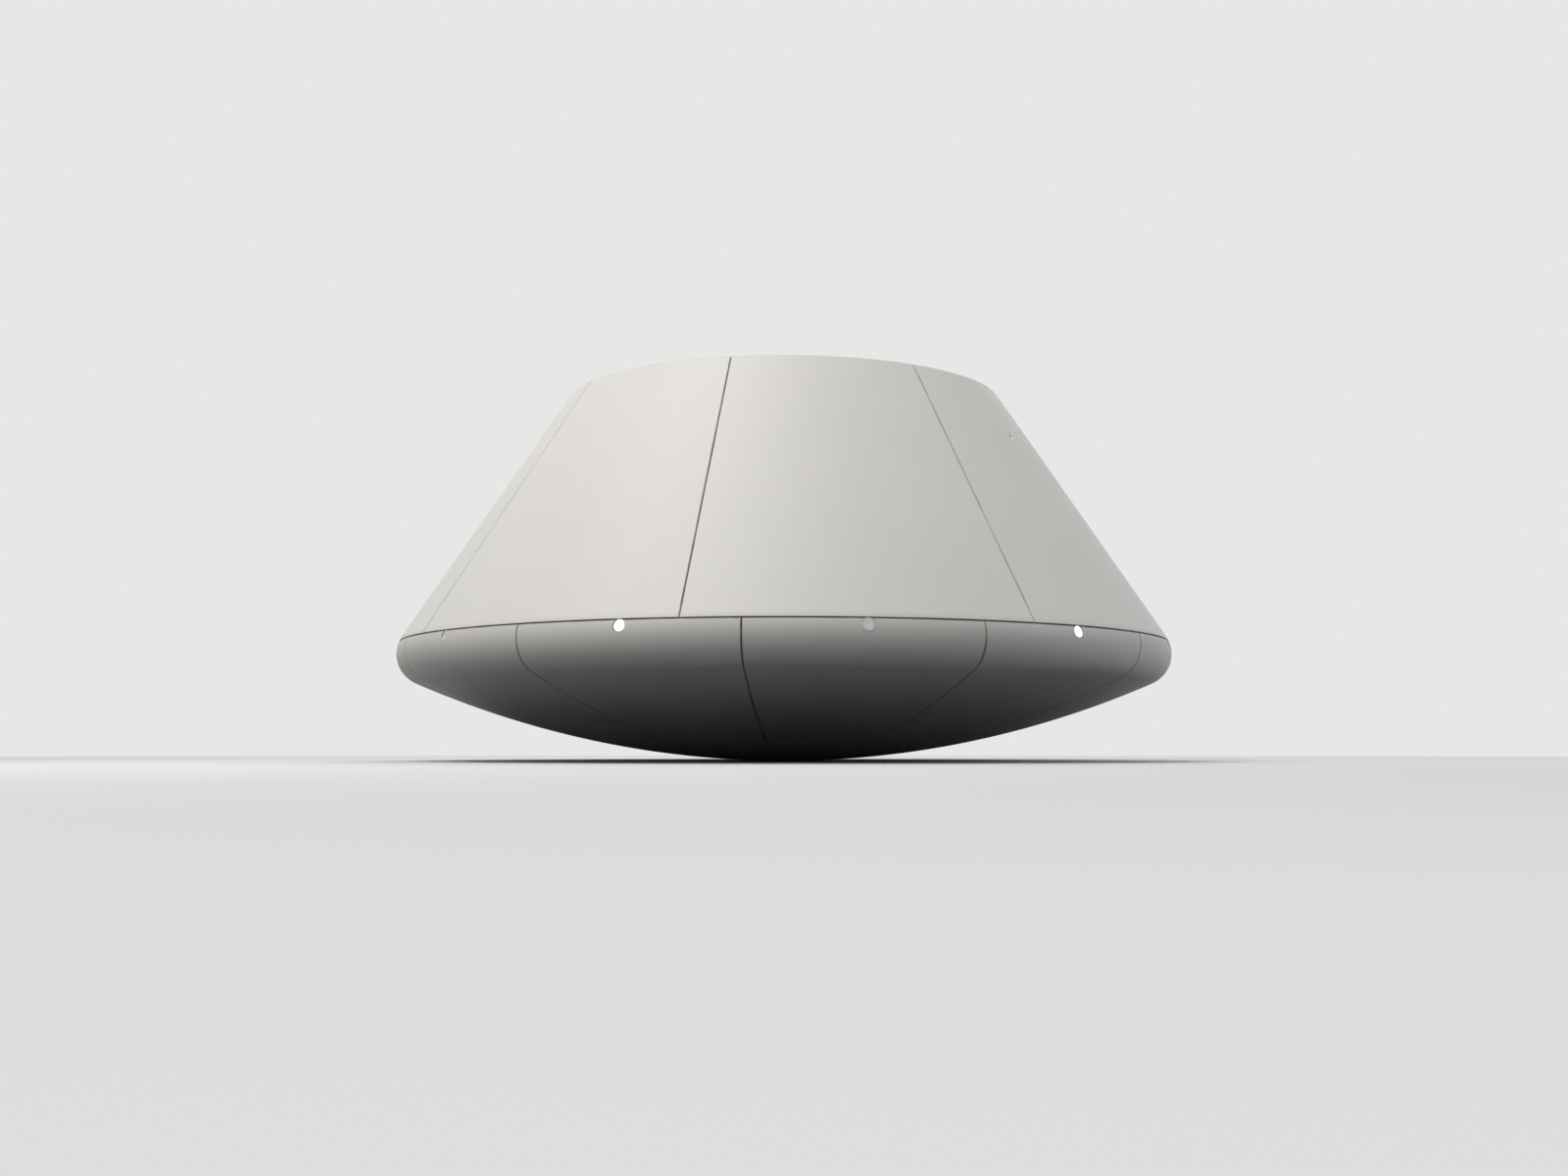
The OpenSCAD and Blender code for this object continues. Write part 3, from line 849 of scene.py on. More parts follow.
    def inset(self, places: Points, amount: float) -> Points:
        """A closed outline moved to its left, towards the material, by an amount."""
        radius = self.section(places[:, 1], places[:, 2])[0]
        ahead = np.roll(places, -1, 0) - places
        sides = []
        for step in (np.roll(ahead, 1, 0), ahead):
            left = np.stack([-step[:, 1], step[:, 0] * radius], 1)
            sides.append(left / np.linalg.norm(left, axis=1)[:, None])
        mitre = (sides[0] + sides[1]) / (1 + (sides[0] * sides[1]).sum(1))[:, None]
        moved = places.copy()
        moved[:, 0] += mitre[:, 0] * amount / radius
        moved[:, 1] += mitre[:, 1] * amount
        return moved


class HullRecipe(Recipe):
    """Lays a flat pattern on the hull.

    The pattern is the skin, spread flat about its lowest point, with -Z for depth.
    """

    def __init__(self, form: HullForm) -> None:
        """Builds the tree for a form."""
        sizes = {"Dish Radius": form.dish, "Shoulder Radius": form.shoulder, "Core Radius": form.core,
                 "Wall Angle": form.wall, "Dish Tilt": form.tilt_dish, "Widest Height": form.wide_z}
        super().__init__("lay_on_hull", {label: "NodeSocketFloat" for label in sizes})
        self.sizes = sizes
        tree = self.tree
        dish, shoulder, core, wall, tilt_dish, wide = (self.given(label) for label in sizes)
        x, y, z = tree.split(tree.node("GeometryNodeInputPosition"))
        run = tree.math("SQRT", x * x + y * y)
        span = run.most(CLOSE)
        run_shoulder = dish * tilt_dish
        bend = wall + math.pi / 2 - tilt_dish
        turned = ((run - run_shoulder) / shoulder).most(0.0).least(bend)
        tilt = (run / dish).least(tilt_dish) + turned
        on_dish = run.under(run_shoulder)
        off_dish = 1 - on_dish
        arc = shoulder * off_dish + dish * on_dish + z
        beyond = (run - run_shoulder - shoulder * bend).most(0.0)
        radius = core * off_dish + arc * tilt.sin() - beyond * wall.sin()
        height = wide * off_dish + dish * on_dish - arc * tilt.cos() + beyond * wall.cos()
        there = tree.joined(x / span * radius, y / span * radius, height)
        moved = {"Geometry": self.given("Geometry"), "Position": there}
        self.close(tree.node("GeometryNodeSetPosition", None, moved))

    def laid(self, name: str, pattern: bpy.types.Mesh, finish: Finish) -> bpy.types.Mesh:
        """Lays a pattern on the hull."""
        return self.cooked(name, pattern, finish, self.sizes)


# Spacing of a skin's places: bearing between columns, run between rows, the same on the shoulder, and the
# clearance from an outline. SPREAD_R turns bearings into lengths while triangles are made.
GRID_ROUND = 0.055
GRID_ALONG = 0.07
GRID_SHOULDER = 0.0118
GRID_CLEAR = 0.006
SPREAD_R = 2.2
RUN_END = 5.0

# Rings of an edge that are darkened in full, as wear and painted seam shade, and the painted shade of the sides
# under them, inside the seam.
EASED_RINGS = 3
SIDE_SHADE = 0.3


class Pattern:
    """A flat pattern of a block or panel: a skin with rounded edges, side walls and a back."""

    def __init__(self, form: HullForm) -> None:
        """Starts an empty pattern on a form."""
        self.form = form
        self.places: list[Points] = []
        self.size = 0
        self.faces: list[list[int]] = []
        self.edge: list[float] = []

    def add(self, places: Points, edge: float = 0.0) -> list[int]:
        """Adds places, and returns their numbers."""
        first = self.size
        self.places.append(places)
        self.size += len(places)
        self.edge += [edge] * len(places)
        return list(range(first, self.size))

    def wall(self, upper: list[int], lower: list[int]) -> None:
        """Joins two rings of an outline, the upper nearer the outer surface."""
        for step, number in enumerate(upper):
            after = (step + 1) % len(upper)
            self.faces.append([number, lower[step], lower[after], upper[after]])

    def cap(self, loops: list[list[int]], depth: float, outwards: bool) -> None:
        """Fills the surface between outlines at a depth with triangles.

        Args:
            loops: numbers of each outline's places; the first runs round the outside.
            depth: depth of the filling places.
            outwards: whether the triangles face outwards.
        """
        known = np.concatenate(self.places)
        numbers = [number for loop in loops for number in loop]
        edges, start = [], 0
        for loop in loops:
            edges += [(start + step, start + (step + 1) % len(loop)) for step in range(len(loop))]
            start += len(loop)
        rim = known[numbers][:, :2] * [SPREAD_R, 1.0]
        inner = self.filling(rim, edges)
        numbers += self.add(np.column_stack([inner / [SPREAD_R, 1.0], np.full(len(inner), depth)]))
        flat = np.concatenate([rim, inner])
        found = delaunay_2d_cdt([Vector(point) for point in flat], edges, [], 0, CLOSE)
        source = [origin[0] for origin in found[3]]
        triangles = np.array([[source[corner] for corner in triangle] for triangle in found[2]])
        corners = flat[triangles]
        area = np.cross(corners[:, 1] - corners[:, 0], corners[:, 2] - corners[:, 0])
        kept = self.within(corners.mean(1), rim, edges) & (np.abs(area) > TINY)
        for triangle, turn in zip(triangles[kept], area[kept]):
            order = triangle if (turn > 0) == outwards else triangle[::-1]
            self.faces.append([numbers[corner] for corner in order])

    def filling(self, rim: Points, edges: list[tuple[int, int]]) -> Points:
        """A grid of places inside outlines, finer on the shoulder than elsewhere."""
        low, high = rim.min(0), rim.max(0)
        columns = np.arange(math.ceil(low[0] / GRID_ROUND), high[0] / GRID_ROUND) * GRID_ROUND
        start, stop = self.form.run_shoulder, self.form.run_wall
        rows = np.concatenate([
            np.arange(stop, start, -GRID_SHOULDER),
            np.arange(start, 0, -GRID_ALONG), np.arange(stop + GRID_ALONG, RUN_END, GRID_ALONG),
        ])
        rows = rows[(rows > low[1]) & (rows < high[1])]
        grid = np.array(np.meshgrid(columns, rows)).reshape(2, -1).T
        grid = grid[self.within(grid, rim, edges)]
        if not len(grid):
            return grid
        first, second = rim[[edge[0] for edge in edges]], rim[[edge[1] for edge in edges]]
        along = second - first
        share = ((grid[:, None] - first) * along).sum(2) / np.maximum((along ** 2).sum(1), TINY)
        foot = first + np.clip(share, 0, 1)[..., None] * along
        return grid[np.linalg.norm(grid[:, None] - foot, axis=2).min(1) > GRID_CLEAR]

    @staticmethod
    def within(points: Points, rim: Points, edges: list[tuple[int, int]]) -> Points:
        """Whether each point lies inside the outlines."""
        first, second = rim[[edge[0] for edge in edges]], rim[[edge[1] for edge in edges]]
        x, y = points[:, :1], points[:, 1:]
        crosses = (first[:, 1] > y) != (second[:, 1] > y)
        rise = second[:, 1] - first[:, 1]
        level = np.abs(rise) < TINY
        at = first[:, 0] + (y - first[:, 1]) / np.where(level, TINY, rise) * (second[:, 0] - first[:, 0])
        return (crosses & (x < at)).sum(1) % 2 == 1

    def slab(self, outer: Rings, holes: Sequence[Rings] = (), pockets: Sequence[Rings] = ()) -> Pattern:
        """A closed slab.

        Args:
            outer: rings of the outside edge, from the outer surface to the back.
            holes: the same for each hole, which runs the other way round.
            pockets: the same for each blind hole, whose last ring is its floor.

        Returns:
            This pattern.
        """
        tops, bottoms = [], []
        for number, rings in enumerate([outer, *holes, *pockets]):
            ring = self.add(rings[0])
            tops.append(ring)
            for level, places in enumerate(rings[1:]):
                # Edge rings take the full darkening, wear with painted seam shade; the sides below take only
                # painted shade.
                lower = self.add(places, 1.0 if level < EASED_RINGS else SIDE_SHADE)
                self.wall(ring, lower)
                ring = lower
            if number > len(holes):
                self.faces.append(ring[::-1])
            else:
                bottoms.append(ring)
        self.cap(tops, float(outer[0][0][2]), True)
        self.cap(bottoms, float(outer[-1][0][2]), False)
        return self

    def mesh(self, name: str) -> bpy.types.Mesh:
        """The pattern, spread flat about the lowest point of the hull."""
        bearing, run, depth = np.concatenate(self.places).T
        spread = np.stack([run * np.sin(bearing), -run * np.cos(bearing), -depth], 1)
        mesh = meshed(name, spread, self.faces)
        labelled(mesh, "edge", "FLOAT", np.array(self.edge))
        return mesh


# What counts as outer skin: how deep a corner lies, and how nearly its face looks along the hull's normal.
SKIN_DEPTH = 0.0004
SKIN_FACING = 0.9


def trued(mesh: bpy.types.Mesh, form: HullForm) -> bpy.types.Mesh:
    """Gives the outer skin of a laid pattern the exact normals of the hull."""
    rounded_off(mesh, 50)
    points = gathered(mesh.vertices, "co", 3)
    corner = gathered(mesh.loops, "vertex_index", 1).astype(int).ravel()
    sizes = gathered(mesh.polygons, "loop_total", 1).astype(int).ravel()
    owner = np.repeat(np.arange(len(mesh.polygons)), sizes)
    facing = gathered(mesh.polygons, "normal", 3)[owner]
    normals = gathered(mesh.corner_normals, "vector", 3)
    exact = form.normals(points)[corner]
    on_skin = (form.depth(points)[corner] < SKIN_DEPTH) & ((facing * exact).sum(1) > SKIN_FACING)
    normals[on_skin] = exact[on_skin]
    mesh.normals_split_custom_set(normals.tolist())
    return mesh


def gathered(items: bpy.types.bpy_prop_collection, label: str, width: int) -> Points:
    """One property of every item of a mesh, as rows."""
    values = np.zeros(len(items) * width, np.float32 if width > 1 else np.int32)
    items.foreach_get(label, values)
    return values.reshape(-1, width)


def evenly(rows: Points, points: Points, count: int) -> Points:
    """Rows spaced evenly round a closed outline.

    Args:
        rows: one row for each point of the outline.
        points: the outline.
        count: number of rows to return.

    Returns:
        The rows, mixed from the given ones.
    """
    steps = np.linalg.norm(np.roll(points, -1, 0) - points, axis=1)
    along = np.concatenate([[0.0], np.cumsum(steps)])
    closed = np.vstack([rows, rows[:1]])
    wanted = np.linspace(0, along[-1], count, endpoint=False)
    return np.column_stack([np.interp(wanted, along, column) for column in closed.T])


@dataclass(frozen=True)
class Outlines:
    """Edges of the blocks, panels, holes and hatch, as rings from the outer surface inwards.

    Each edge is eased by a rounding, inside a ring that holds the skin flat up to it. The samples are the
    steps in which the rows of a side are counted, and the columns stand closer than the skin's by a factor.
    """

    form: HullForm
    ease: float = 0.0025
    support: float = 0.006
    samples: int = 400
    columns: float = 2.3
    rounds: int = 14

    def eased(self, edge: Callable[[float], Points], deeper: Sequence[Points]) -> Rings:
        """Rings of an edge that is rounded at the outer surface and goes on down.

        Args:
            edge: the outline at a depth.
            deeper: the rings under the rounding.

        Returns:
            All the rings.
        """
        form, ease, part = self.form, self.ease, self.ease * (1 - math.sqrt(0.5))
        return [
            form.inset(edge(0.0), self.support), form.inset(edge(0.0), ease),
            form.inset(edge(part), part), edge(ease), *deeper,
        ]

    def sector(self, start: float, step: float, low: Callable[[float], float],
               high: Callable[[float], float], thick: float) -> Rings:
        """Edge of one sector between two seams.

        Args:
            start: bearing of the first seam.
            step: angle to the next seam.
            low: run of the lower edge at a depth.
            high: run of the upper edge at a depth.
            thick: thickness.

        Returns:
            Its rings.
        """
        form = self.form
        reach = np.linspace(0, 1, self.samples + 1)
        length = high(0.0) - low(0.0)
        runs = low(0.0) + reach * length
        fine = (runs > form.run_shoulder) & (runs < form.run_wall)
        density = np.where(fine, 1 / GRID_SHOULDER, 1 / GRID_ALONG)
        weight = np.cumsum(density)
        weight = (weight - weight[0]) / (weight[-1] - weight[0])
        share = np.interp(np.linspace(0, 1, int(length * density.mean()) + 1), weight, reach)

        def edge(depth: float) -> Points:
            """The outline at a depth."""
            run = low(depth) + share * (high(depth) - low(depth))
            turn = np.arcsin(form.gap / 2 / form.section(run, depth)[0])
            left, right = start + turn, start + step - turn
            columns = np.linspace(0, 1, int(step * self.columns / GRID_ROUND) + 1)[:-1]
            ends = [np.column_stack([here + columns * (there - here), np.full(len(columns), level)])
                    for here, there, level in ((left[0], right[0], run[0]), (right[-1], left[-1], run[-1]))]
            rising, falling = np.column_stack([right, run])[:-1], np.column_stack([left, run])[:0:-1]
            flat = np.concatenate([ends[0], rising, ends[1], falling])
            return np.column_stack([flat, np.full(len(flat), depth)])

        return self.eased(edge, [edge(thick)])

    def settled(self, spot: Spot, shape: Callable[[Points], Points], count: int, depth: float) -> Points:
        """Places where a bored or tapered outline meets the surface at a depth.

        Args:
            spot: frame of the outline.
            shape: (x, y) of the outline at heights over the spot.
            count: number of places.
            depth: depth under the outer surface.

        Returns:
            The places.
        """
        height = np.full(count, -depth)
        for _ in range(self.rounds):
            local = np.column_stack([shape(height), height])
            places = self.form.locate(spot.world(local), spot.bearing)
            height = height + places[:, 2] - depth
        return places

    def bore(self, spot: Spot, radius: float, up: float, levels: Sequence[tuple[float, float]],
             through: float = 0.0, steps: int = 48) -> Rings:
        """Edge of a round hole square to a spot.

        Args:
            spot: frame of the hole.
            radius: radius at the outer surface.
            up: distance of the hole's middle up the slope.
            levels: (radius, height over the spot) of the deeper rings.
            through: depth that a through hole ends at, with the last radius.
            steps: places in a ring.

        Returns:
            Its rings.
        """
        turn = -np.linspace(0, math.tau, steps, endpoint=False)
        round_off = np.column_stack([np.cos(turn), np.sin(turn)])

        def shape(size: float) -> Callable[[Points], Points]:
            """The circle of a size."""
            return lambda height: round_off * size + [0, up]

        deeper = []
        for size, height in levels:
            local = np.column_stack([round_off * size + [0, up], np.full(steps, height)])
            deeper.append(self.form.locate(spot.world(local), spot.bearing))
        if through:
            last = levels[-1][0] if levels else radius
            deeper.append(self.settled(spot, shape(last), steps, through))
        return self.eased(lambda depth: self.settled(spot, shape(radius), steps, depth), deeper)


@dataclass(frozen=True)
class Doorway:
    """The side hatch's outline: a rounded rectangle on the wall, with edges that taper inwards."""

    spot: Spot
    width: float = 0.86
    length: float = 0.96
    corner: float = 0.18
    taper: float = math.radians(12)
    bend_steps: int = 10
    side_steps: int = 12

    @cached_property
    def frames(self) -> tuple[Points, Points]:
        """Corner centres and directions of the outline's places, round the left."""
        half = np.array([self.width / 2 - self.corner, self.length / 2 - self.corner])
        signs = [(1, 1), (-1, 1), (-1, -1), (1, -1)]
        centres, ways = [], []
        for number, sign in enumerate(signs):
            after = signs[(number + 1) % 4]
            for step in range(self.bend_steps + 1):
                turn = math.pi / 2 * (number + step / self.bend_steps)
                centres.append(half * sign)
                ways.append([math.cos(turn), math.sin(turn)])
            for share in np.arange(1, self.side_steps) / self.side_steps:
                centres.append(half * sign * (1 - share) + half * after * share)
                ways.append(ways[-1])
        return np.array(centres), np.array(ways)

    def shape(self, grow: float) -> Callable[[Points], Points]:
        """(x, y) of the outline, grown by an amount, at heights over the spot."""
        centres, ways = self.frames
        reach = self.corner + grow / math.cos(self.taper)
        return lambda height: centres + ways * (reach + math.tan(self.taper) * height)[:, None]

    def edge(self, outlines: Outlines, grow: float) -> Callable[[float], Points]:
        """The outline at a depth, round the left."""
        return lambda depth: outlines.settled(self.spot, self.shape(grow), len(self.frames[0]), depth)


# Fasteners


UP = (0.0, 0.0, 1.0)
TURN_SEED = 11


class Head(Enum):
    """Kinds of fastener and round insert."""

    HEX = "hex"
    BUTTON = "button"
    PLUG = "plug"
    VENT = "vent"
    KEY = "key"
    RIB = "rib"


def plug_profile(r: float, t: float) -> list[tuple[float, float]]:
    """Plug with a rounded rim, a turned groove and a dimple, from its radius and height."""
    return [(0, 0), (r, 0), (r, t - 0.0016), (r - 0.0005, t - 0.0005), (r - 0.0016, t), (r * 0.80, t),
            (r * 0.785, t - 0.0009), (r * 0.765, t - 0.0009), (r * 0.75, t), (r * 0.16, t),
            (r * 0.14, t - 0.0012), (r * 0.05, t - 0.003), (0, t - 0.0032)]


def vent_profile(r: float, t: float) -> list[tuple[float, float]]:
    """Cup with a rounded rim and a blind bore, from its radius and height."""
    bore = 0.015
    return [(0, 0), (r, 0), (r, t - 0.0012), (r - 0.0004, t - 0.0004), (r - 0.0012, t), (bore + 0.003, t),
            (bore + 0.0012, t - 0.0006), (bore, t - 0.003), (bore, 0.012), (bore - 0.002, 0.0105), (0, 0.01)]


def button_profile(r: float, t: float) -> list[tuple[float, float]]:
    """Domed screw head with a round socket, from its radius and height."""
    return [(0, 0), (r, 0), (r, t * 0.18), (r * 0.93, t * 0.55), (r * 0.72, t * 0.88), (r * 0.42, t),
            (r * 0.38, t * 0.96), (r * 0.34, t * 0.45), (0, t * 0.42)]


def hex_head(r: float, t: float) -> bpy.types.Mesh:
    """Six-sided bolt head on a round washer face."""
    work = bmesh.new()
    rings = []
    for size, height in ((1.0, 0.0), (1.0, 0.16), (0.97, 0.2), (0.86, 0.2), (0.86, 0.88), (0.76, 1.0)):
        sides = 24 if size > 0.9 else 6
        turns = [math.tau * step / sides for step in range(sides)]
        rings.append([work.verts.new((r * size * math.cos(turn), r * size * math.sin(turn), t * height))
                      for turn in turns])
    for low, high in zip(rings, rings[1:]):
        if len(low) == len(high):
            for step, corner in enumerate(low):
                after = (step + 1) % len(low)
                work.faces.new([corner, low[after], high[after], high[step]])
    for ring in (rings[0][::-1], rings[2], rings[3][::-1], rings[-1]):
        work.faces.new(ring)
    return finished(work, "hex_head")


def key_head(r: float, t: float) -> bpy.types.Mesh:
    """Square key with rounded edges."""
    work = bmesh.new()
    bmesh.ops.create_cube(work, size=1.0)
    for vert in work.verts:
        vert.co = Vector((vert.co.x * 2 * r, vert.co.y * 2 * r, (vert.co.z + 0.5) * t))
    bmesh.ops.bevel(work, geom=work.edges, offset=t * 0.25, segments=2, profile=0.5, affect="EDGES")
    return finished(work, "key_head")


def rib_head(r: float, t: float) -> bpy.types.Mesh:
    """Straight rib along X, from -r to r, with rounded shoulders."""
    half = 0.007
    section = [(-half, 0.0), (half, 0.0), (half * 0.8, t * 0.85), (half * 0.45, t), (-half * 0.45, t),
               (-half * 0.8, t * 0.85)]
    count = len(section)
    points = [(x, side, up) for x in (-r, r) for side, up in section]
    faces = [[step, count + step, count + (step + 1) % count, (step + 1) % count] for step in range(count)]
    faces += [list(range(count)), list(range(2 * count - 1, count - 1, -1))]
    return meshed("rib_head", points, [face[::-1] for face in faces])


def head_mesh(head: Head, radius: float, tall: float) -> bpy.types.Mesh:
    """Mesh of one fastener, insert, key or rib, standing on the origin.

    Args:
        head: its kind.
        radius: its outer radius, or half its length.
        tall: its height.

    Returns:
        The mesh.
    """
    turned = {Head.PLUG: (plug_profile, 64), Head.VENT: (vent_profile, 64), Head.BUTTON: (button_profile, 20)}
    if head in turned:
        profile, steps = turned[head]
        return lathed(f"{head.value}_head", profile(radius, tall), steps)
    return {Head.HEX: hex_head, Head.KEY: key_head, Head.RIB: rib_head}[head](radius, tall)


class FastenerRecipe(Recipe):
    """Sets a head on each point, its foot turned away from the point's "out" direction.

    Each head turns about that direction by the point's "turn", and by chance from a fixed seed.
    """

    def __init__(self) -> None:
        """Builds the tree."""
        inputs = {"Head": "NodeSocketObject", "Spin": "NodeSocketFloat", "Seed": "NodeSocketInt"}
        super().__init__("set_fasteners", inputs)
        tree = self.tree
        head = tree.node("GeometryNodeObjectInfo", {"transform_space": "ORIGINAL"},
                         {"Object": self.given("Head")}, "Geometry")
        out = tree.node("GeometryNodeInputNamedAttribute", {"data_type": "FLOAT_VECTOR"}, {"Name": "out"})
        turn = tree.node("GeometryNodeInputNamedAttribute", {"data_type": "FLOAT"}, {"Name": "turn"})
        facing = tree.node("FunctionNodeAlignRotationToVector", {"axis": "Z"}, {"Vector": out})
        set_on = tree.node("GeometryNodeInstanceOnPoints", None,
                           {"Points": self.given("Geometry"), "Instance": head, "Rotation": facing})
        chance = tree.node("FunctionNodeRandomValue", {"data_type": "FLOAT"},
                           {"Seed": self.given("Seed"), 3: self.given("Spin")}, 1)
        around = tree.joined(0.0, 0.0, chance + turn)
        spun = tree.node("GeometryNodeRotateInstances", None,
                         {"Instances": set_on, "Rotation": around, "Local Space": True})
        self.close(spun)

    def fitted(self, name: str, points: Points, outs: Points, head: Head, size: tuple[float, float],
               finish: Finish, body: Body, *nodes: str, turns: Optional[Points] = None) -> bpy.types.Object:
        """Makes a piece of heads set on points.

        Args:
            name: name of the piece.
            points: where they stand.
            outs: which way each faces.
            head: kind of head.
            size: radius and height of a head.
            finish: their finish.
            body: the body that they move with.
            nodes: CAD nodes that they stand for.
            turns: angle of each about the way it faces; none where it doesn't matter.

        Returns:
            The piece.
        """
        pattern = meshed(name + "_points", points)
        labelled(pattern, "out", "FLOAT_VECTOR", np.broadcast_to(np.asarray(outs, float), (len(points), 3)))
        labelled(pattern, "turn", "FLOAT", np.zeros(len(points)) if turns is None else turns)
        sample = linked(name + "_sample", rounded_off(head_mesh(head, *size), 30))
        spin = math.pi if head is Head.HEX else 0.0
        mesh = self.cooked(name, pattern, finish, {"Head": sample, "Spin": spin, "Seed": TURN_SEED})
        bpy.data.objects.remove(sample)
        return piece(name, rounded_off(mesh, 30), finish, body, *nodes)


def on_round(bearing: Points, radius: Points, height: float) -> Points:
    """Points on a circle about the middle axis, at bearings from -Y towards +X."""
    level = np.full(len(bearing), height)
    return np.column_stack([radius * np.sin(bearing), -radius * np.cos(bearing), level])


@dataclass
class Workshop:
    """What every sub-assembly is made with."""

    form: HullForm = field(default_factory=HullForm)

    def __post_init__(self) -> None:
        """Builds the two trees."""
        self.hull = HullRecipe(self.form)
        self.fasteners = FastenerRecipe()
        self.outlines = Outlines(self.form)

    def clad(self, name: str, pattern: Pattern, finish: Finish, body: Body, *nodes: str) -> bpy.types.Object:
        """A piece laid on the hull from its pattern."""
        mesh = self.hull.laid(name, pattern.mesh(name), finish)
        return piece(name, trued(mesh, self.form), finish, body, *nodes)


# Heat shield


@dataclass
class HeatShield:
    """Centre disc, twelve wedge blocks with a metal plug each, and the dark carrier behind them."""

    shop: Workshop
    centre_r: float = 1.108
    plug_r: float = 0.035
    plug_rise: float = 0.038
    plug_seat: float = 0.04
    plug_clear: float = 0.0015
    drill_reach: float = 0.03
    drill_steps: int = 72
    rows_out: int = 20
    rows_back: int = 8
    round_steps: int = 144
    edge_depth: float = 0.004

    def build(self) -> None:
        """Builds all of it."""
        form, outlines = self.shop.form, self.shop.outlines
        step = math.tau / SHIELD_BLOCKS
        half = form.gap / 2
        spots = [form.on_shoulder(SHIELD_PHASE + step * (number + 0.5), self.plug_rise)
                 for number in range(SHIELD_BLOCKS)]
        for number, spot in enumerate(spots):
            outer = outlines.sector(
                SHIELD_PHASE + step * number, step,
                lambda depth: form.run_at_radius(self.centre_r + half, depth),
                lambda depth: form.run_at_height(form.ring_z - half, depth), form.shield_t,
            )
            name = f"shield_block_{number + 1}"
            mesh = self.shop.hull.laid(name, Pattern(form).slab(outer).mesh(name), SHIELD)
            mesh = self.drilled(name, mesh, spot)
            piece(name, trued(mesh, form), SHIELD, Body.CAPSULE, f"shield_gore_{number + 1}")
        self.centre()
        recess = form.shoulder - math.sqrt(form.shoulder ** 2 - self.plug_r ** 2)
        seats = np.array([spot.world([[0, 0, -self.plug_seat]])[0] for spot in spots])
        self.shop.fasteners.fitted(
            "plug_inserts", seats, np.array([spot.axes[2] for spot in spots]), Head.PLUG,
            (self.plug_r, self.plug_seat - recess), PLUG_METAL, Body.CAPSULE, "shoulder_plugs",
        )
        dressed_node("shield_carrier", CARRIER)

    def drilled(self, name: str, mesh: bpy.types.Mesh, spot: Spot) -> bpy.types.Mesh:
        """Bores the seat of a plug, which breaks out at the block's upper edge.

        Args:
            name: name of the block.
            mesh: its mesh, laid on the hull.
            spot: frame of the plug.

        Returns:
            The bored mesh.
        """
        radius, seat, reach = self.plug_r + self.plug_clear, -self.plug_seat, self.drill_reach
        profile = [(0, seat), (radius, seat), (radius, reach), (0, reach)]
        bit = lathed("plug_drill", profile, self.drill_steps)
        turned = spot.world([vertex.co for vertex in bit.vertices])
        bit.vertices.foreach_set("co", turned.astype(np.float32).ravel())
        drill = linked("plug_drill", bit)
        carrier = linked(name + "_blank", mesh)
        cutting = carrier.modifiers.new("bore", "BOOLEAN")
        cutting.operation, cutting.solver, cutting.object = "DIFFERENCE", "EXACT", drill
        bored = evaluated(carrier, name)
        bpy.data.objects.remove(drill)
        return bored

    def centre(self) -> None:
        """The round centre block, a turned slab laid on the dish."""
        form, outlines = self.shop.form, self.shop.outlines
        rim, ease = self.centre_r - form.gap / 2, outlines.ease
        part = ease * (1 - math.sqrt(0.5))
        rows = [(share * rim, 0.0) for share in np.linspace(0, 1, self.rows_out)[:-1]]
        held = len(rows)
        rows += [(rim - outlines.support, 0.0), (rim - ease, 0.0), (rim - part, part), (rim, ease)]
        rows += [(share * rim, form.shield_t) for share in np.linspace(1, 0, self.rows_back)]
        runs = [form.run_at_radius(radius, depth) if radius else 0.0 for radius, depth in rows]
        profile = [(run, -depth) for run, (_, depth) in zip(runs, rows)]
        flat = lathed("shield_centre_block", profile, self.round_steps)
        flat.flip_normals()
        radius = np.array([math.hypot(*vertex.co[:2]) for vertex in flat.vertices])
        depth = np.array([-vertex.co[2] for vertex in flat.vertices])
        rounded = (radius > runs[held] + SKIN_DEPTH / 4) & (depth < self.edge_depth)
        labelled(flat, "edge", "FLOAT", rounded.astype(float))
        mesh = self.shop.hull.laid("shield_centre_block", flat, SHIELD)
        piece("shield_centre_block", trued(mesh, form), SHIELD, Body.CAPSULE, "shield_center")


def dressed_node(node: str, finish: Finish) -> None:
    """Gives a CAD node that stays its finish."""
    shown = frame["nodes"][node]
    shown.data.materials.clear()
    shown.data.materials.append(finish.material())
    LOG.info("%s: finished in place", node)


# Back shell


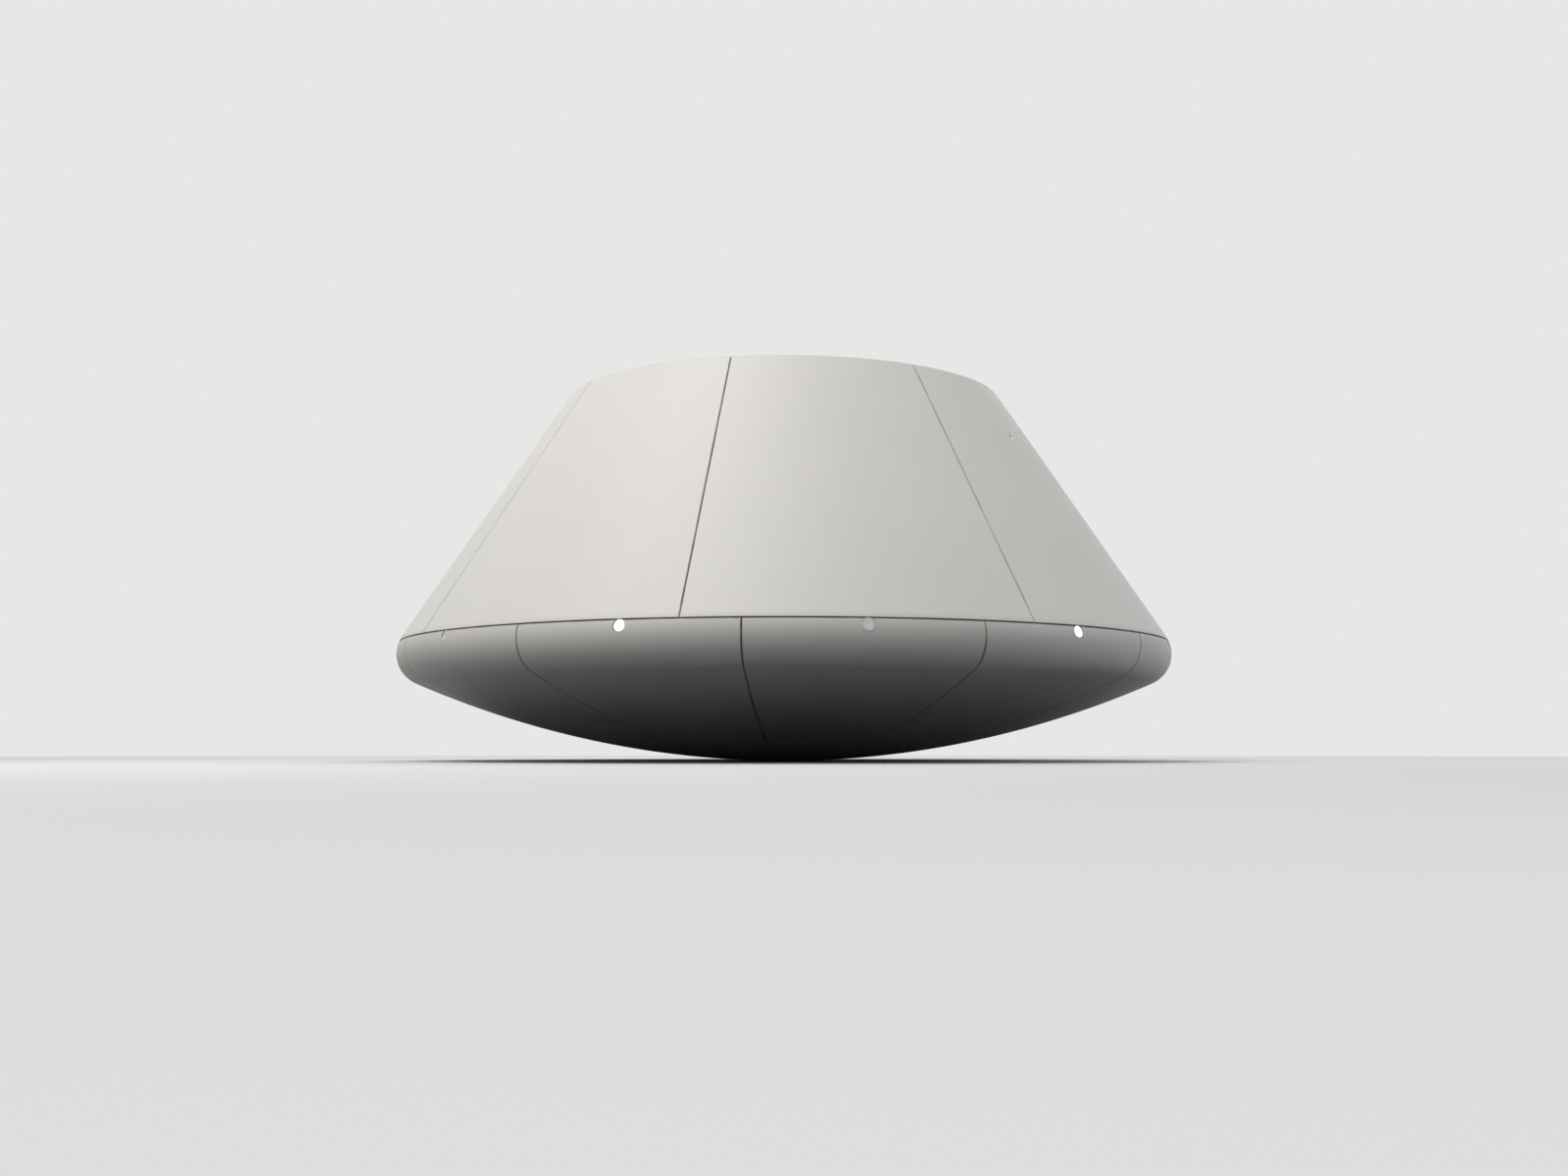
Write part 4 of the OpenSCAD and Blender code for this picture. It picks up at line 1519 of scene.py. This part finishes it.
@dataclass
class BackShell:
    """Eight wall panels, the two vent inserts and the pressure wall behind them."""

    shop: Workshop
    doorway: Doorway
    vent_panels: tuple[int, ...] = (2, 6)
    hatch_panel: int = 5
    vent_r: float = 0.026
    vent_clear: float = 0.0003
    vent_sunk: float = 0.001
    vent_rise: float = 1.3

    def build(self) -> None:
        """Builds all of it."""
        form, outlines = self.shop.form, self.shop.outlines
        step = math.tau / WALL_PANELS
        vents = []
        for panel in range(1, WALL_PANELS + 1):
            start = WALL_PHASE + step * (panel - 1)
            outer = outlines.sector(
                start, step, lambda depth: form.run_at_height(form.ring_z + form.gap / 2, depth),
                lambda depth: form.run_at_height(form.top_z, depth), form.panel_t,
            )
            holes = []
            if panel in self.vent_panels:
                spot = form.on_wall(start + step / 2, form.wide_z + self.vent_rise)
                vents.append(spot)
                holes.append(outlines.bore(spot, self.vent_r + self.vent_clear, 0.0, [], form.panel_t, 40))
            if panel == self.hatch_panel:
                way = self.doorway.edge(outlines, form.gap)
                holes.append(outlines.eased(lambda depth: way(depth)[::-1], [way(form.panel_t)[::-1]]))
            slab = Pattern(form).slab(outer, holes)
            self.shop.clad(f"shell_panel_{panel}", slab, SHELL, Body.CAPSULE, f"back_panel_{panel}")
        seats = np.array([spot.world([[0, 0, -form.panel_t]])[0] for spot in vents])
        self.shop.fasteners.fitted(
            "vent_cups", seats, np.array([spot.axes[2] for spot in vents]), Head.VENT,
            (self.vent_r, form.panel_t - self.vent_sunk), PLUG_METAL, Body.CAPSULE, "vent_inserts",
        )
        eased("pressure_wall", "cabin_wall", 0.0, LINING, Body.CAPSULE)


# Side hatch


@dataclass
class SideHatch:
    """Hatch, window, handle and hinges, with its seal, inner lining and screws."""

    shop: Workshop
    doorway: Doorway
    window_up: float = 0.19
    window_r: float = 0.14
    rim_r: float = 0.1803
    window_seat: float = 0.04
    frame_face: float = 0.009
    handle_up: float = -0.19
    cup_r: float = 0.085
    cup_depth: float = 0.06
    seal_r: float = 0.0032
    seal_depth: float = 0.034
    seal_sides: int = 10
    lining_t: float = 0.012
    lining_lift: float = 0.0002
    lining_inset: float = 0.06
    lining_screws: int = 28
    screw_inset: float = 0.08
    frame_screws: int = 20
    pin_x: float = -0.44
    pins_up: tuple[float, float] = (-0.27, 0.27)
    leaf_lift: float = 0.0195

    def build(self) -> None:
        """Builds all of it."""
        form, outlines, spot = self.shop.form, self.shop.outlines, self.doorway.spot
        edge = self.doorway.edge(outlines, 0.0)
        outer = outlines.eased(edge, [edge(0.05), edge(form.hull_t)])
        window = outlines.bore(
            spot, self.rim_r, self.window_up,
            [(self.rim_r, -self.window_seat), (self.window_r, -self.window_seat)], form.hull_t, 72,
        )
        cup = outlines.bore(
            spot, self.cup_r, self.handle_up,
            [(self.cup_r, 0.012 - self.cup_depth), (self.cup_r - 0.0035, 0.0035 - self.cup_depth),
             (self.cup_r - 0.012, -self.cup_depth)], 0.0, 64,
        )
        slab = Pattern(form).slab(outer, [window], [cup])
        self.shop.clad("hatch_shell", slab, SHELL, Body.SIDE_HATCH, "side_hatch")
        eased("hatch_window_frame", "window_surround", 0.0025, MACHINED, Body.SIDE_HATCH, 3)
        eased("hatch_window", "window_pane", 0.002, GLASS, Body.SIDE_HATCH)
        eased("hatch_handle", "hatch_grip", 0.006, MACHINED, Body.SIDE_HATCH, 4)
        eased("side_hinge_moving", "hatch_hinge_leaves", 0.0018, MACHINED, Body.SIDE_HATCH)
        eased("side_hinge_fixed", "wall_hinge_leaves", 0.0018, MACHINED, Body.CAPSULE)
        self.seal(edge)
        self.lining(edge)
        self.screws()

    def seal(self, edge: Callable[[float], Points]) -> None:
        """A rubber bead, a little flattened, that stands out of the hatch's tapered edge."""
        form, bead, out, wide = self.shop.form, self.seal_r, 0.45, 0.9
        pattern = Pattern(form)
        rings = []
        for turn in np.arange(self.seal_sides) * math.tau / self.seal_sides:
            path = edge(self.seal_depth + bead * math.sin(turn))
            rings.append(pattern.add(form.inset(path, -bead * (out + wide * math.cos(turn)))))
        for first, second in zip(rings, rings[1:] + rings[:1]):
            pattern.wall(second, first)
        mesh = self.shop.hull.laid("hatch_seal", pattern.mesh("hatch_seal"), RUBBER)
        piece("hatch_seal", rounded_off(mesh, 80), RUBBER, Body.SIDE_HATCH)

    def lining(self, edge: Callable[[float], Points]) -> None:
        """A padded-edge inner panel on the hatch's back, open round the window."""
        form, outlines = self.shop.form, self.shop.outlines
        top, t = form.hull_t + self.lining_lift, self.lining_t
        rounding = [(0.0, 0.0), (0.0, t - 0.003), (0.0009, t - 0.0009), (0.003, t), (0.008, t)]
        outer = [form.inset(edge(top + down), self.lining_inset + inwards) for inwards, down in rounding]
        radius = self.window_r + self.lining_t
        opening = outlines.bore(self.doorway.spot, radius, self.window_up, [], 0.0, 72)[-1]
        hole = []
        for inwards, down in rounding:
            ring = form.inset(opening, inwards)
            ring[:, 2] = top + down
            hole.append(ring)
        slab = Pattern(form).slab(outer, [hole])
        mesh = self.shop.hull.laid("hatch_lining", slab.mesh("hatch_lining"), LINING)
        piece("hatch_lining", rounded_off(mesh, 40), LINING, Body.SIDE_HATCH)
        ring = form.inset(edge(top + t), self.screw_inset)
        inner = form.point(evenly(ring, form.point(ring), self.lining_screws))
        self.shop.fasteners.fitted("lining_screws", inner, -form.normals(inner), Head.BUTTON, (0.007, 0.003),
                                   FIXINGS, Body.SIDE_HATCH)

    def screws(self) -> None:
        """Screws round the window surround and on the hinge leaves."""
        form, spot, fitted = self.shop.form, self.doorway.spot, self.shop.fasteners.fitted
        middle = (self.window_r + self.rim_r) / 2
        turns = np.arange(self.frame_screws) * math.tau / self.frame_screws
        local = np.column_stack([middle * np.cos(turns), self.window_up + middle * np.sin(turns),
                                 np.full(self.frame_screws, -self.frame_face)])
        fitted("surround_screws", spot.world(local), spot.axes[2], Head.BUTTON, (0.0075, 0.0035), FIXINGS,
               Body.SIDE_HATCH)
        for name, body, sides, rows in (
            ("leaf_screws", Body.SIDE_HATCH, (0.055, 0.105), (-0.016, 0.016)),
            ("wall_leaf_screws", Body.CAPSULE, (-0.055, -0.105), (-0.046, 0.046)),
        ):
            flat = [(self.pin_x + side, up + row, 0.0)
                    for up in self.pins_up for side in sides for row in rows]
            places = form.locate(spot.world(flat), spot.bearing)
            places[:, 2] = -self.leaf_lift
            points = form.point(places)
            fitted(name, points, form.normals(points), Head.BUTTON, (0.006, 0.003), FIXINGS, body)


# Top deck


@dataclass
class TopDeck:
    """Deck plate, parachute bay covers, docking tunnel and ring, and the lifting lugs."""

    shop: Workshop
    flange_top: float = 2.3570638
    inner_r: float = 0.74
    outer_r: float = 1.333
    screw_side: float = 0.087
    arc_screws: tuple[int, int] = (13, 26)
    side_screws: int = 6
    bolt_r: float = 0.674
    bolts: int = 48

    def build(self) -> None:
        """Builds all of it."""
        capsule = Body.CAPSULE
        eased("top_deck", "deck_plate", 0.002, STRUCTURE, capsule)
        eased("docking_tunnel", "tunnel_liner", 0.0025, MACHINED, capsule, 3)
        eased("docking_ring", "docking_flange", 0.0025, MACHINED, capsule, 3)
        eased("lifting_lugs", "lug_forgings", 0.004, MACHINED, capsule, 3)
        eased("dock_hinge_fixed", "docking_hinge_ears", 0.0015, MACHINED, capsule)
        for cover in range(1, BAY_COVERS + 1):
            eased(f"bay_cover_{cover}", f"parachute_cover_{cover}", 0.004, DECK, capsule, 3)
        self.screws()

    def screws(self) -> None:
        """Screws round each cover, and hex bolts round the docking flange."""
        fitted, sector = self.shop.fasteners.fitted, math.tau / BAY_COVERS
        places = []
        for start in np.arange(BAY_COVERS) * sector:
            for radius, count in zip((self.inner_r, self.outer_r), self.arc_screws):
                turn = math.asin(self.screw_side / radius)
                places += [(start + along, radius) for along in np.linspace(turn, sector - turn, count)]
            for radius in np.linspace(self.inner_r, self.outer_r, self.side_screws + 2)[1:-1]:
                turn = math.asin(self.screw_side / radius)
                places += [(start + turn, radius), (start + sector - turn, radius)]
        points = on_round(*np.array(places).T, self.shop.form.top_z)
        fitted("cover_screws", points, UP, Head.BUTTON, (0.011, 0.005), FIXINGS, Body.CAPSULE)
        turns = (np.arange(self.bolts) + 0.5) * math.tau / self.bolts
        ring = on_round(turns, self.bolt_r, self.flange_top)
        fitted("flange_bolts", ring, UP, Head.HEX, (0.016, 0.014), FIXINGS, Body.CAPSULE)


# Docking hatch


@dataclass
class DockingHatch:
    """The round hatch over the tunnel: a turned plate with a rim and radial ribs, and its hand wheel."""

    shop: Workshop
    radius: float = 0.44
    thick: float = 0.045
    rim: float = 0.365
    hub: float = 0.15
    sunk: float = 0.016
    ribs: int = 12
    rib_share: float = 0.7
    round_steps: int = 160

    def build(self) -> None:
        """Builds all of it."""
        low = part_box("docking_hatch")[0].z
        r, t, rim, hub, down = self.radius, self.thick, self.rim, self.hub, self.thick - self.sunk
        profile = [
            (0, 0), (r - 0.002, 0), (r - 0.0006, 0.0006), (r, 0.002),
            (r, t - 0.004), (r - 0.0012, t - 0.0012), (r - 0.004, t),
            (rim + 0.004, t), (rim + 0.0012, t - 0.0012), (rim, t - 0.004),
            (rim - 0.001, down + 0.005), (rim - 0.007, down),
            (hub + 0.007, down), (hub + 0.001, down + 0.005),
            (hub, t - 0.004), (hub - 0.0012, t - 0.0012), (hub - 0.004, t), (0, t),
        ]
        mesh = lathed("hatch_plate", [(radius, low + height) for radius, height in profile], self.round_steps)
        body = Body.DOCKING_HATCH
        piece("docking_plate", rounded_off(mesh, 30), DECK, body, "docking_hatch")
        self.stiffeners(low + down)
        eased("docking_hatch_wheel", "hand_wheel", 0.0, MACHINED, body)
        eased("dock_hinge_moving", "docking_hinge_leaves", 0.0015, MACHINED, body)

    def stiffeners(self, floor_z: float) -> None:
        """Radial ribs in the sunk part of the plate."""
        turns = (np.arange(self.ribs) + 0.5) * math.tau / self.ribs
        middle, half = (self.rim + self.hub) / 2, (self.rim - self.hub) / 2 - 0.001
        points = on_round(turns + math.pi / 2, middle, floor_z)
        self.shop.fasteners.fitted("docking_ribs", points, UP, Head.RIB, (half, self.sunk * self.rib_share),
                                   DECK, Body.DOCKING_HATCH, turns=turns)


# Cabin


def framed(name: str, middle: Sequence[float], half: Sequence[float], corner: float,
           section: Sequence[tuple[float, float]], plane: float, filled: bool = False,
           bends: int = 6) -> bpy.types.Mesh:
    """A rounded rectangle frame or plate that stands out of a plane towards -Y.

    Args:
        name: name of the mesh.
        middle: x and z of its middle.
        half: half its width and height.
        corner: radius of its corners.
        section: (distance in from the edge, height out of the plane) of its rings.
        plane: y of the plane.
        filled: whether the last ring is closed over, as on a plate.
        bends: steps round a corner.

    Returns:
        The mesh.
    """
    points, rings = [], []
    for inwards, out in section:
        radius = corner - min(inwards, corner * 0.8)
        reach = (half[0] - inwards - radius, half[1] - inwards - radius)
        ring = []
        for number, (sx, sz) in enumerate([(1, 1), (-1, 1), (-1, -1), (1, -1)]):
            for step in range(bends + 1):
                turn = math.pi / 2 * (number + step / bends)
                ring.append(len(points))
                points.append((middle[0] + sx * reach[0] + radius * math.cos(turn), plane - out,
                               middle[1] + sz * reach[1] + radius * math.sin(turn)))
        rings.append(ring)
    count = len(rings[0])
    pairs = list(zip(rings, rings[1:])) if filled else list(zip(rings, rings[1:] + rings[:1]))
    faces = [[low[step], low[(step + 1) % count], high[(step + 1) % count], high[step]]
             for low, high in pairs for step in range(count)]
    if filled:
        faces += [rings[-1], rings[0][::-1]]
    return rounded_off(meshed(name, points, faces), 40)


class Side(Enum):
    """The side of a pad that faces away from the couch."""

    ABOVE = (2, 1.0)
    FRONT = (1, -1.0)


@dataclass(frozen=True)
class Pad:
    """One couch pad: a stuffed cushion with a seam round its edge and sewn channels across it.

    A channel and the seam are each given by a depth and a width.
    """

    name: str
    along_y: tuple[float, float]
    along_z: tuple[float, float]
    side: Side
    channels: int
    slack: float = 0.006
    voxel: float = 0.013
    swell: float = 0.009
    steps: int = 20
    margin: float = 0.001
    corner: float = 0.014
    bulge: float = 0.003
    lift: float = 0.0004
    channel: tuple[float, float] = (0.008, 0.009)
    seam: tuple[float, float] = (0.0035, 0.006)
    crown: float = 0.004

    def stuffed(self, width: float) -> bpy.types.Mesh:
        """Blows the cushion up as cloth, then sews it.

        Args:
            width: width of the pad.

        Returns:
            Its mesh, about x = 0.
        """
        axis, way = self.side.value
        low = np.array([-width / 2, self.along_y[0], self.along_z[0]])
        high = np.array([width / 2, self.along_y[1], self.along_z[1]])
        start, stop = low + self.slack, high - self.slack
        seat = low[axis] if way > 0 else high[axis]
        if way > 0:
            start[axis] = low[axis] + self.margin
        else:
            stop[axis] = high[axis] - self.margin
        work = bmesh.new()
        bmesh.ops.create_cube(work, size=1.0)
        for vert in work.verts:
            vert.co = Vector((start + stop) / 2 + np.array(vert.co) * (stop - start))
        bmesh.ops.bevel(work, geom=work.edges, offset=self.corner, segments=3, profile=0.5, affect="EDGES")
        carrier = linked(self.name + "_blank", finished(work, self.name))
        grid = carrier.modifiers.new("grid", "REMESH")
        grid.mode, grid.voxel_size = "VOXEL", self.voxel
        mesh = evaluated(carrier, self.name)
        rest = gathered(mesh.vertices, "co", 3)
        blown = self.blown(mesh, rest)
        moved = blown - rest
        reach = np.linalg.norm(moved, axis=1)[:, None]
        shape = rest + moved * np.minimum(1.0, self.swell / np.maximum(reach, 1e-9))
        shape = np.clip(shape, low - self.bulge, high + self.bulge)
        mesh.vertices.foreach_set("co", shape.astype(np.float32).ravel())
        carrier = linked(self.name + "_blank", mesh)
        fine = carrier.modifiers.new("fine", "SUBSURF")
        fine.levels = fine.render_levels = 1
        mesh = evaluated(carrier, self.name)
        shape = self.sewn(gathered(mesh.vertices, "co", 3), low, high, axis, way)
        rising = (shape[:, axis] - seat) * way
        shape[:, axis] = seat + way * np.maximum(rising, self.lift)
        mesh.vertices.foreach_set("co", shape.astype(np.float32).ravel())
        mesh.update()
        mesh.shade_smooth()
        return mesh

    def blown(self, mesh: bpy.types.Mesh, rest: Points) -> Points:
        """Runs the cloth under pressure, and returns where its points end."""
        scene = bpy.context.scene
        carrier = linked(self.name + "_cloth", mesh.copy())
        cloth = carrier.modifiers.new("cloth", "CLOTH")
        settings = cloth.settings
        settings.quality, settings.mass = 5, 0.3
        settings.use_pressure, settings.uniform_pressure_force = True, 4.0
        settings.effector_weights.gravity = 0.0
        cloth.point_cache.frame_start, cloth.point_cache.frame_end = 1, self.steps
        for step in range(1, self.steps + 1):
            scene.frame_set(step)
        graph = bpy.context.evaluated_depsgraph_get()
        shape = gathered(carrier.evaluated_get(graph).data.vertices, "co", 3)
        carrier.modifiers.clear()
        bpy.data.objects.remove(carrier)
        scene.frame_set(1)
        return shape if np.isfinite(shape).all() and shape.shape == rest.shape else rest

    def sewn(self, shape: Points, low: Points, high: Points, axis: int, way: float) -> Points:
        """Draws in the channels, the seam round the edge, and crowns the free face.

        Args:
            shape: points of the cushion.
            low: lowest corner of its space.
            high: highest corner.
            axis: axis that it is thin along.
            way: side of that axis that faces away from the couch.

        Returns:
            The sewn points.
        """
        length = 3 - axis
        height = (shape[:, axis] - low[axis]) / (high[axis] - low[axis])
        height = height if way > 0 else 1 - height
        span = high[length] - low[length]
        across = np.abs(shape[:, 0]) / high[0]
        share = (shape[:, length] - low[length]) / span
        top = np.clip(height * 2 - 0.9, 0, 1)
        depth = np.zeros(len(shape))
        for number in range(1, self.channels):
            away = (share - number / self.channels) * span
            depth += self.channel[0] * np.exp(-(away / self.channel[1]) ** 2)
        depth += self.crown * np.clip(across, 0, 1) ** 4
        sewn = shape.copy()
        sewn[:, axis] -= way * depth * top
        from_seam = (height - 0.5) * (high[axis] - low[axis])
        seam = self.seam[0] * np.exp(-(from_seam / self.seam[1]) ** 2)
        centre = (low + high) / 2
        for side in (0, length):
            reach = (shape[:, side] - centre[side]) / ((high[side] - low[side]) / 2)
            sewn[:, side] -= np.sign(reach) * seam * (np.abs(reach) > 0.85)
        return sewn


# Sections of a display: distance in from the edge, and height.
BEZEL = ((0.0, 0.0), (0.0, 0.006), (0.0015, 0.0075), (0.010, 0.0075), (0.012, 0.004), (0.012, 0.0))
PANE = ((0.0, 0.0), (0.0, 0.0034), (0.0012, 0.0046), (0.004, 0.0046))


@dataclass
class Cabin:
    """Floor, couches with their pads, and the hung display console."""

    shop: Workshop
    couches: int = 4
    pitch: float = 0.52
    pad_w: float = 0.42
    pads: tuple[Pad, ...] = (
        Pad("head_pad", (-0.730, -0.550), (0.9442, 1.0192), Side.ABOVE, 1),
        Pad("back_pad", (-0.530, 0.0397), (0.9442, 0.9942), Side.ABOVE, 4),
        Pad("thigh_pad", (0.0597, 0.1097), (0.9442, 1.3042), Side.FRONT, 3),
        Pad("calf_pad", (0.130, 0.550), (1.3242, 1.3742), Side.ABOVE, 3),
    )
    screens: tuple[float, ...] = (-0.5, 0.0, 0.5)
    screen_w: float = 0.4
    screen_h: float = 0.2
    screen_up: float = 0.19
    bezel_in: float = 0.0118
    keys: int = 36
    keys_reach: float = 0.69
    keys_up: float = 0.045
    screws: int = 12
    screws_reach: float = 0.71

    def build(self) -> None:
        """Builds all of it."""
        eased("cabin_floor", "floor_plate", 0.0, FLOORING, Body.CAPSULE)
        eased("crew_couches", "couch_mouldings", 0.008, COUCH_SHELL, Body.CAPSULE, 3)
        eased("display_console", "console_housing", 0.006, PLASTIC, Body.CAPSULE, 3)
        for pad in self.pads:
            cushion = pad.stuffed(self.pad_w)
            for number in range(self.couches):
                copy = cushion.copy()
                copy.transform(Matrix.Translation(((number - (self.couches - 1) / 2) * self.pitch, 0, 0)))
                made = piece(f"{pad.name}_{number + 1}", copy, FABRIC, Body.CAPSULE, "couch_pads")
            bpy.data.meshes.remove(cushion)
        self.displays()

    def displays(self) -> None:
        """Screens in raised bezels on the console, keys under them, and screws in its back."""
        low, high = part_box("display_console")
        face_y, back_y, bottom = low.y, high.y, low.z
        fitted = self.shop.fasteners.fitted
        half = np.array([self.screen_w, self.screen_h]) / 2
        plane = face_y + 0.001
        for number, x in enumerate(self.screens):
            middle = (x, bottom + self.screen_up)
            mesh = framed("bezel", middle, half, 0.022, BEZEL, plane)
            piece(f"display_bezel_{number + 1}", mesh, PLASTIC, Body.CAPSULE)
            mesh = framed("glass", middle, half - self.bezel_in, 0.012, PANE, plane, True)
            piece(f"display_screen_{number + 1}", mesh, SCREEN, Body.CAPSULE)
        across = np.linspace(-self.keys_reach, self.keys_reach, self.keys)
        keys = [(x, face_y + 0.0005, bottom + self.keys_up) for x in across]
        fitted("console_keys", keys, (0.0, -1.0, 0.0), Head.KEY, (0.012, 0.007), COUCH_SHELL, Body.CAPSULE)
        across = np.linspace(-self.screws_reach, self.screws_reach, self.screws)
        screws = [(x, back_y, z) for x in across for z in (bottom + 0.03, high.z - 0.135)]
        fitted("console_screws", screws, (0.0, 1.0, 0.0), Head.BUTTON, (0.007, 0.004), FIXINGS, Body.CAPSULE)


# Studio


# Height that the lamps are aimed at.
AIM_Z = 1.2


@dataclass(frozen=True)
class Lamp:
    """A soft square lamp that is aimed at the object."""

    name: str
    bearing: float
    rise: float
    away: float
    size: float
    power: float
    colour: Colour

    def hang(self) -> None:
        """Puts the lamp in the scene."""
        light = bpy.data.lights.new(self.name, "AREA")
        light.shape, light.size, light.energy, light.color = "SQUARE", self.size, self.power, self.colour
        lamp = bpy.data.objects.new(self.name, light)
        bearing, rise = math.radians(self.bearing), math.radians(self.rise)
        flat = math.cos(rise)
        way = Vector((math.sin(bearing) * flat, -math.cos(bearing) * flat, math.sin(rise)))
        lamp.location = way * self.away + Vector((0, 0, AIM_Z))
        lamp.rotation_euler = way.to_track_quat("Z", "Y").to_euler()
        bpy.context.scene.collection.objects.link(lamp)


@dataclass
class Studio:
    """Pale floor, soft lamps, pale surround and the camera."""

    pale: Colour = (0.80, 0.80, 0.79)
    floor_seen: Colour = (0.74, 0.74, 0.73)
    floor_bounce: Colour = (0.12, 0.12, 0.12)
    floor_r: float = 90.0
    floor_z: float = -0.0004
    floor_steps: int = 96
    fade_from: float = 4.2
    fade_over: float = 9.0
    ambient: float = 0.36
    camera_away: float = 10.5
    camera_z: float = 0.07
    lens: float = 36.34
    pitch: float = 5.85
    lamps: tuple[Lamp, ...] = (
        Lamp("key_lamp", -41.0, 54.0, 10.5, 8.0, 715.0, (1.0, 0.985, 0.965)),
        Lamp("fill_lamp", 78.0, 24.0, 10.5, 7.0, 110.0, (0.95, 0.975, 1.0)),
        Lamp("back_lamp", 175.0, 44.0, 10.5, 8.0, 420.0, (1.0, 1.0, 1.0)),
        Lamp("left_strip", -40.0, 17.0, 10.5, 2.4, 50.0, (1.0, 1.0, 1.0)),
        Lamp("right_strip", 80.0, 17.0, 10.5, 2.4, 50.0, (1.0, 1.0, 1.0)),
    )

    def build(self) -> None:
        """Builds all of it."""
        scene = bpy.context.scene
        scene.view_settings.view_transform = "Standard"
        turns = np.arange(self.floor_steps) * math.tau / self.floor_steps
        points = on_round(turns, self.floor_r, self.floor_z)
        floor = linked("studio_floor", meshed("studio_floor", points, [list(range(self.floor_steps))]))
        floor.data.materials.append(self.floor_material())
        self.surround()
        for lamp in self.lamps:
            lamp.hang()
        camera = bpy.data.objects.new("camera", bpy.data.cameras.new("camera"))
        camera.data.lens = self.lens
        camera.data.clip_end = 400.0
        camera.location = (0.0, -self.camera_away, self.camera_z)
        camera.rotation_euler = (math.radians(90 + self.pitch), 0.0, 0.0)
        scene.collection.objects.link(camera)
        scene.camera = camera

    @staticmethod
    def shown(tree: Tree) -> Value:
        """1 for rays that show the surround: from the camera, off gloss or through glass."""
        ray = tree.node("ShaderNodeLightPath", None, None, "Is Camera Ray")
        return (ray + ray.other("Is Glossy Ray") + ray.other("Is Transmission Ray")).held()

    def floor_material(self) -> bpy.types.Material:
        """Pale matt floor that passes into the surround far away."""
        made = bpy.data.materials.new("studio_floor_paint")
        tree = blank(made)
        shown = self.shown(tree)
        at = tree.place()
        colour = tree.mix(shown, (*self.floor_bounce, 1.0), (*self.floor_seen, 1.0))
        diffuse = tree.node("ShaderNodeBsdfDiffuse", None, {"Color": colour})
        far = tree.node("ShaderNodeVectorMath", {"operation": "LENGTH"}, {0: at}, "Value")
        share = ((far - self.fade_from) / self.fade_over).held()
        share = share * share * (3 - share * 2) * shown
        glow = tree.node("ShaderNodeEmission", None, {"Color": (*self.pale, 1.0), "Strength": 1.0})
        mixed = tree.node("ShaderNodeMixShader", None, {0: share, 1: diffuse, 2: glow})
        tree.node("ShaderNodeOutputMaterial", None, {"Surface": mixed})
        return made

    def surround(self) -> None:
        """Soft light from all round, and a pale colour where it is seen."""
        world = bpy.data.worlds.new("studio_surround")
        bpy.context.scene.world = world
        tree = blank(world)
        level = (self.ambient, self.ambient, self.ambient * 1.01, 1.0)
        colour = tree.mix(self.shown(tree), level, (*self.pale, 1.0))
        back = tree.node("ShaderNodeBackground", None, {"Color": colour, "Strength": 1.0})
        tree.node("ShaderNodeOutputWorld", None, {"Surface": back})


# Place of the side hatch's middle: its bearing, and its height over the ring seam.
DOOR_BEARING = math.radians(190)
DOOR_RISE = 0.65


def main() -> None:
    """Builds the studio and every sub-assembly in order."""
    logging.basicConfig(level=logging.INFO, format="%(name)s %(message)s")
    Studio().build()
    shop = Workshop()
    form = shop.form
    doorway = Doorway(form.on_wall(DOOR_BEARING, form.ring_z + DOOR_RISE))
    HeatShield(shop).build()
    BackShell(shop, doorway).build()
    SideHatch(shop, doorway).build()
    TopDeck(shop).build()
    DockingHatch(shop).build()
    Cabin(shop).build()


if __name__ == "__main__":
    main()
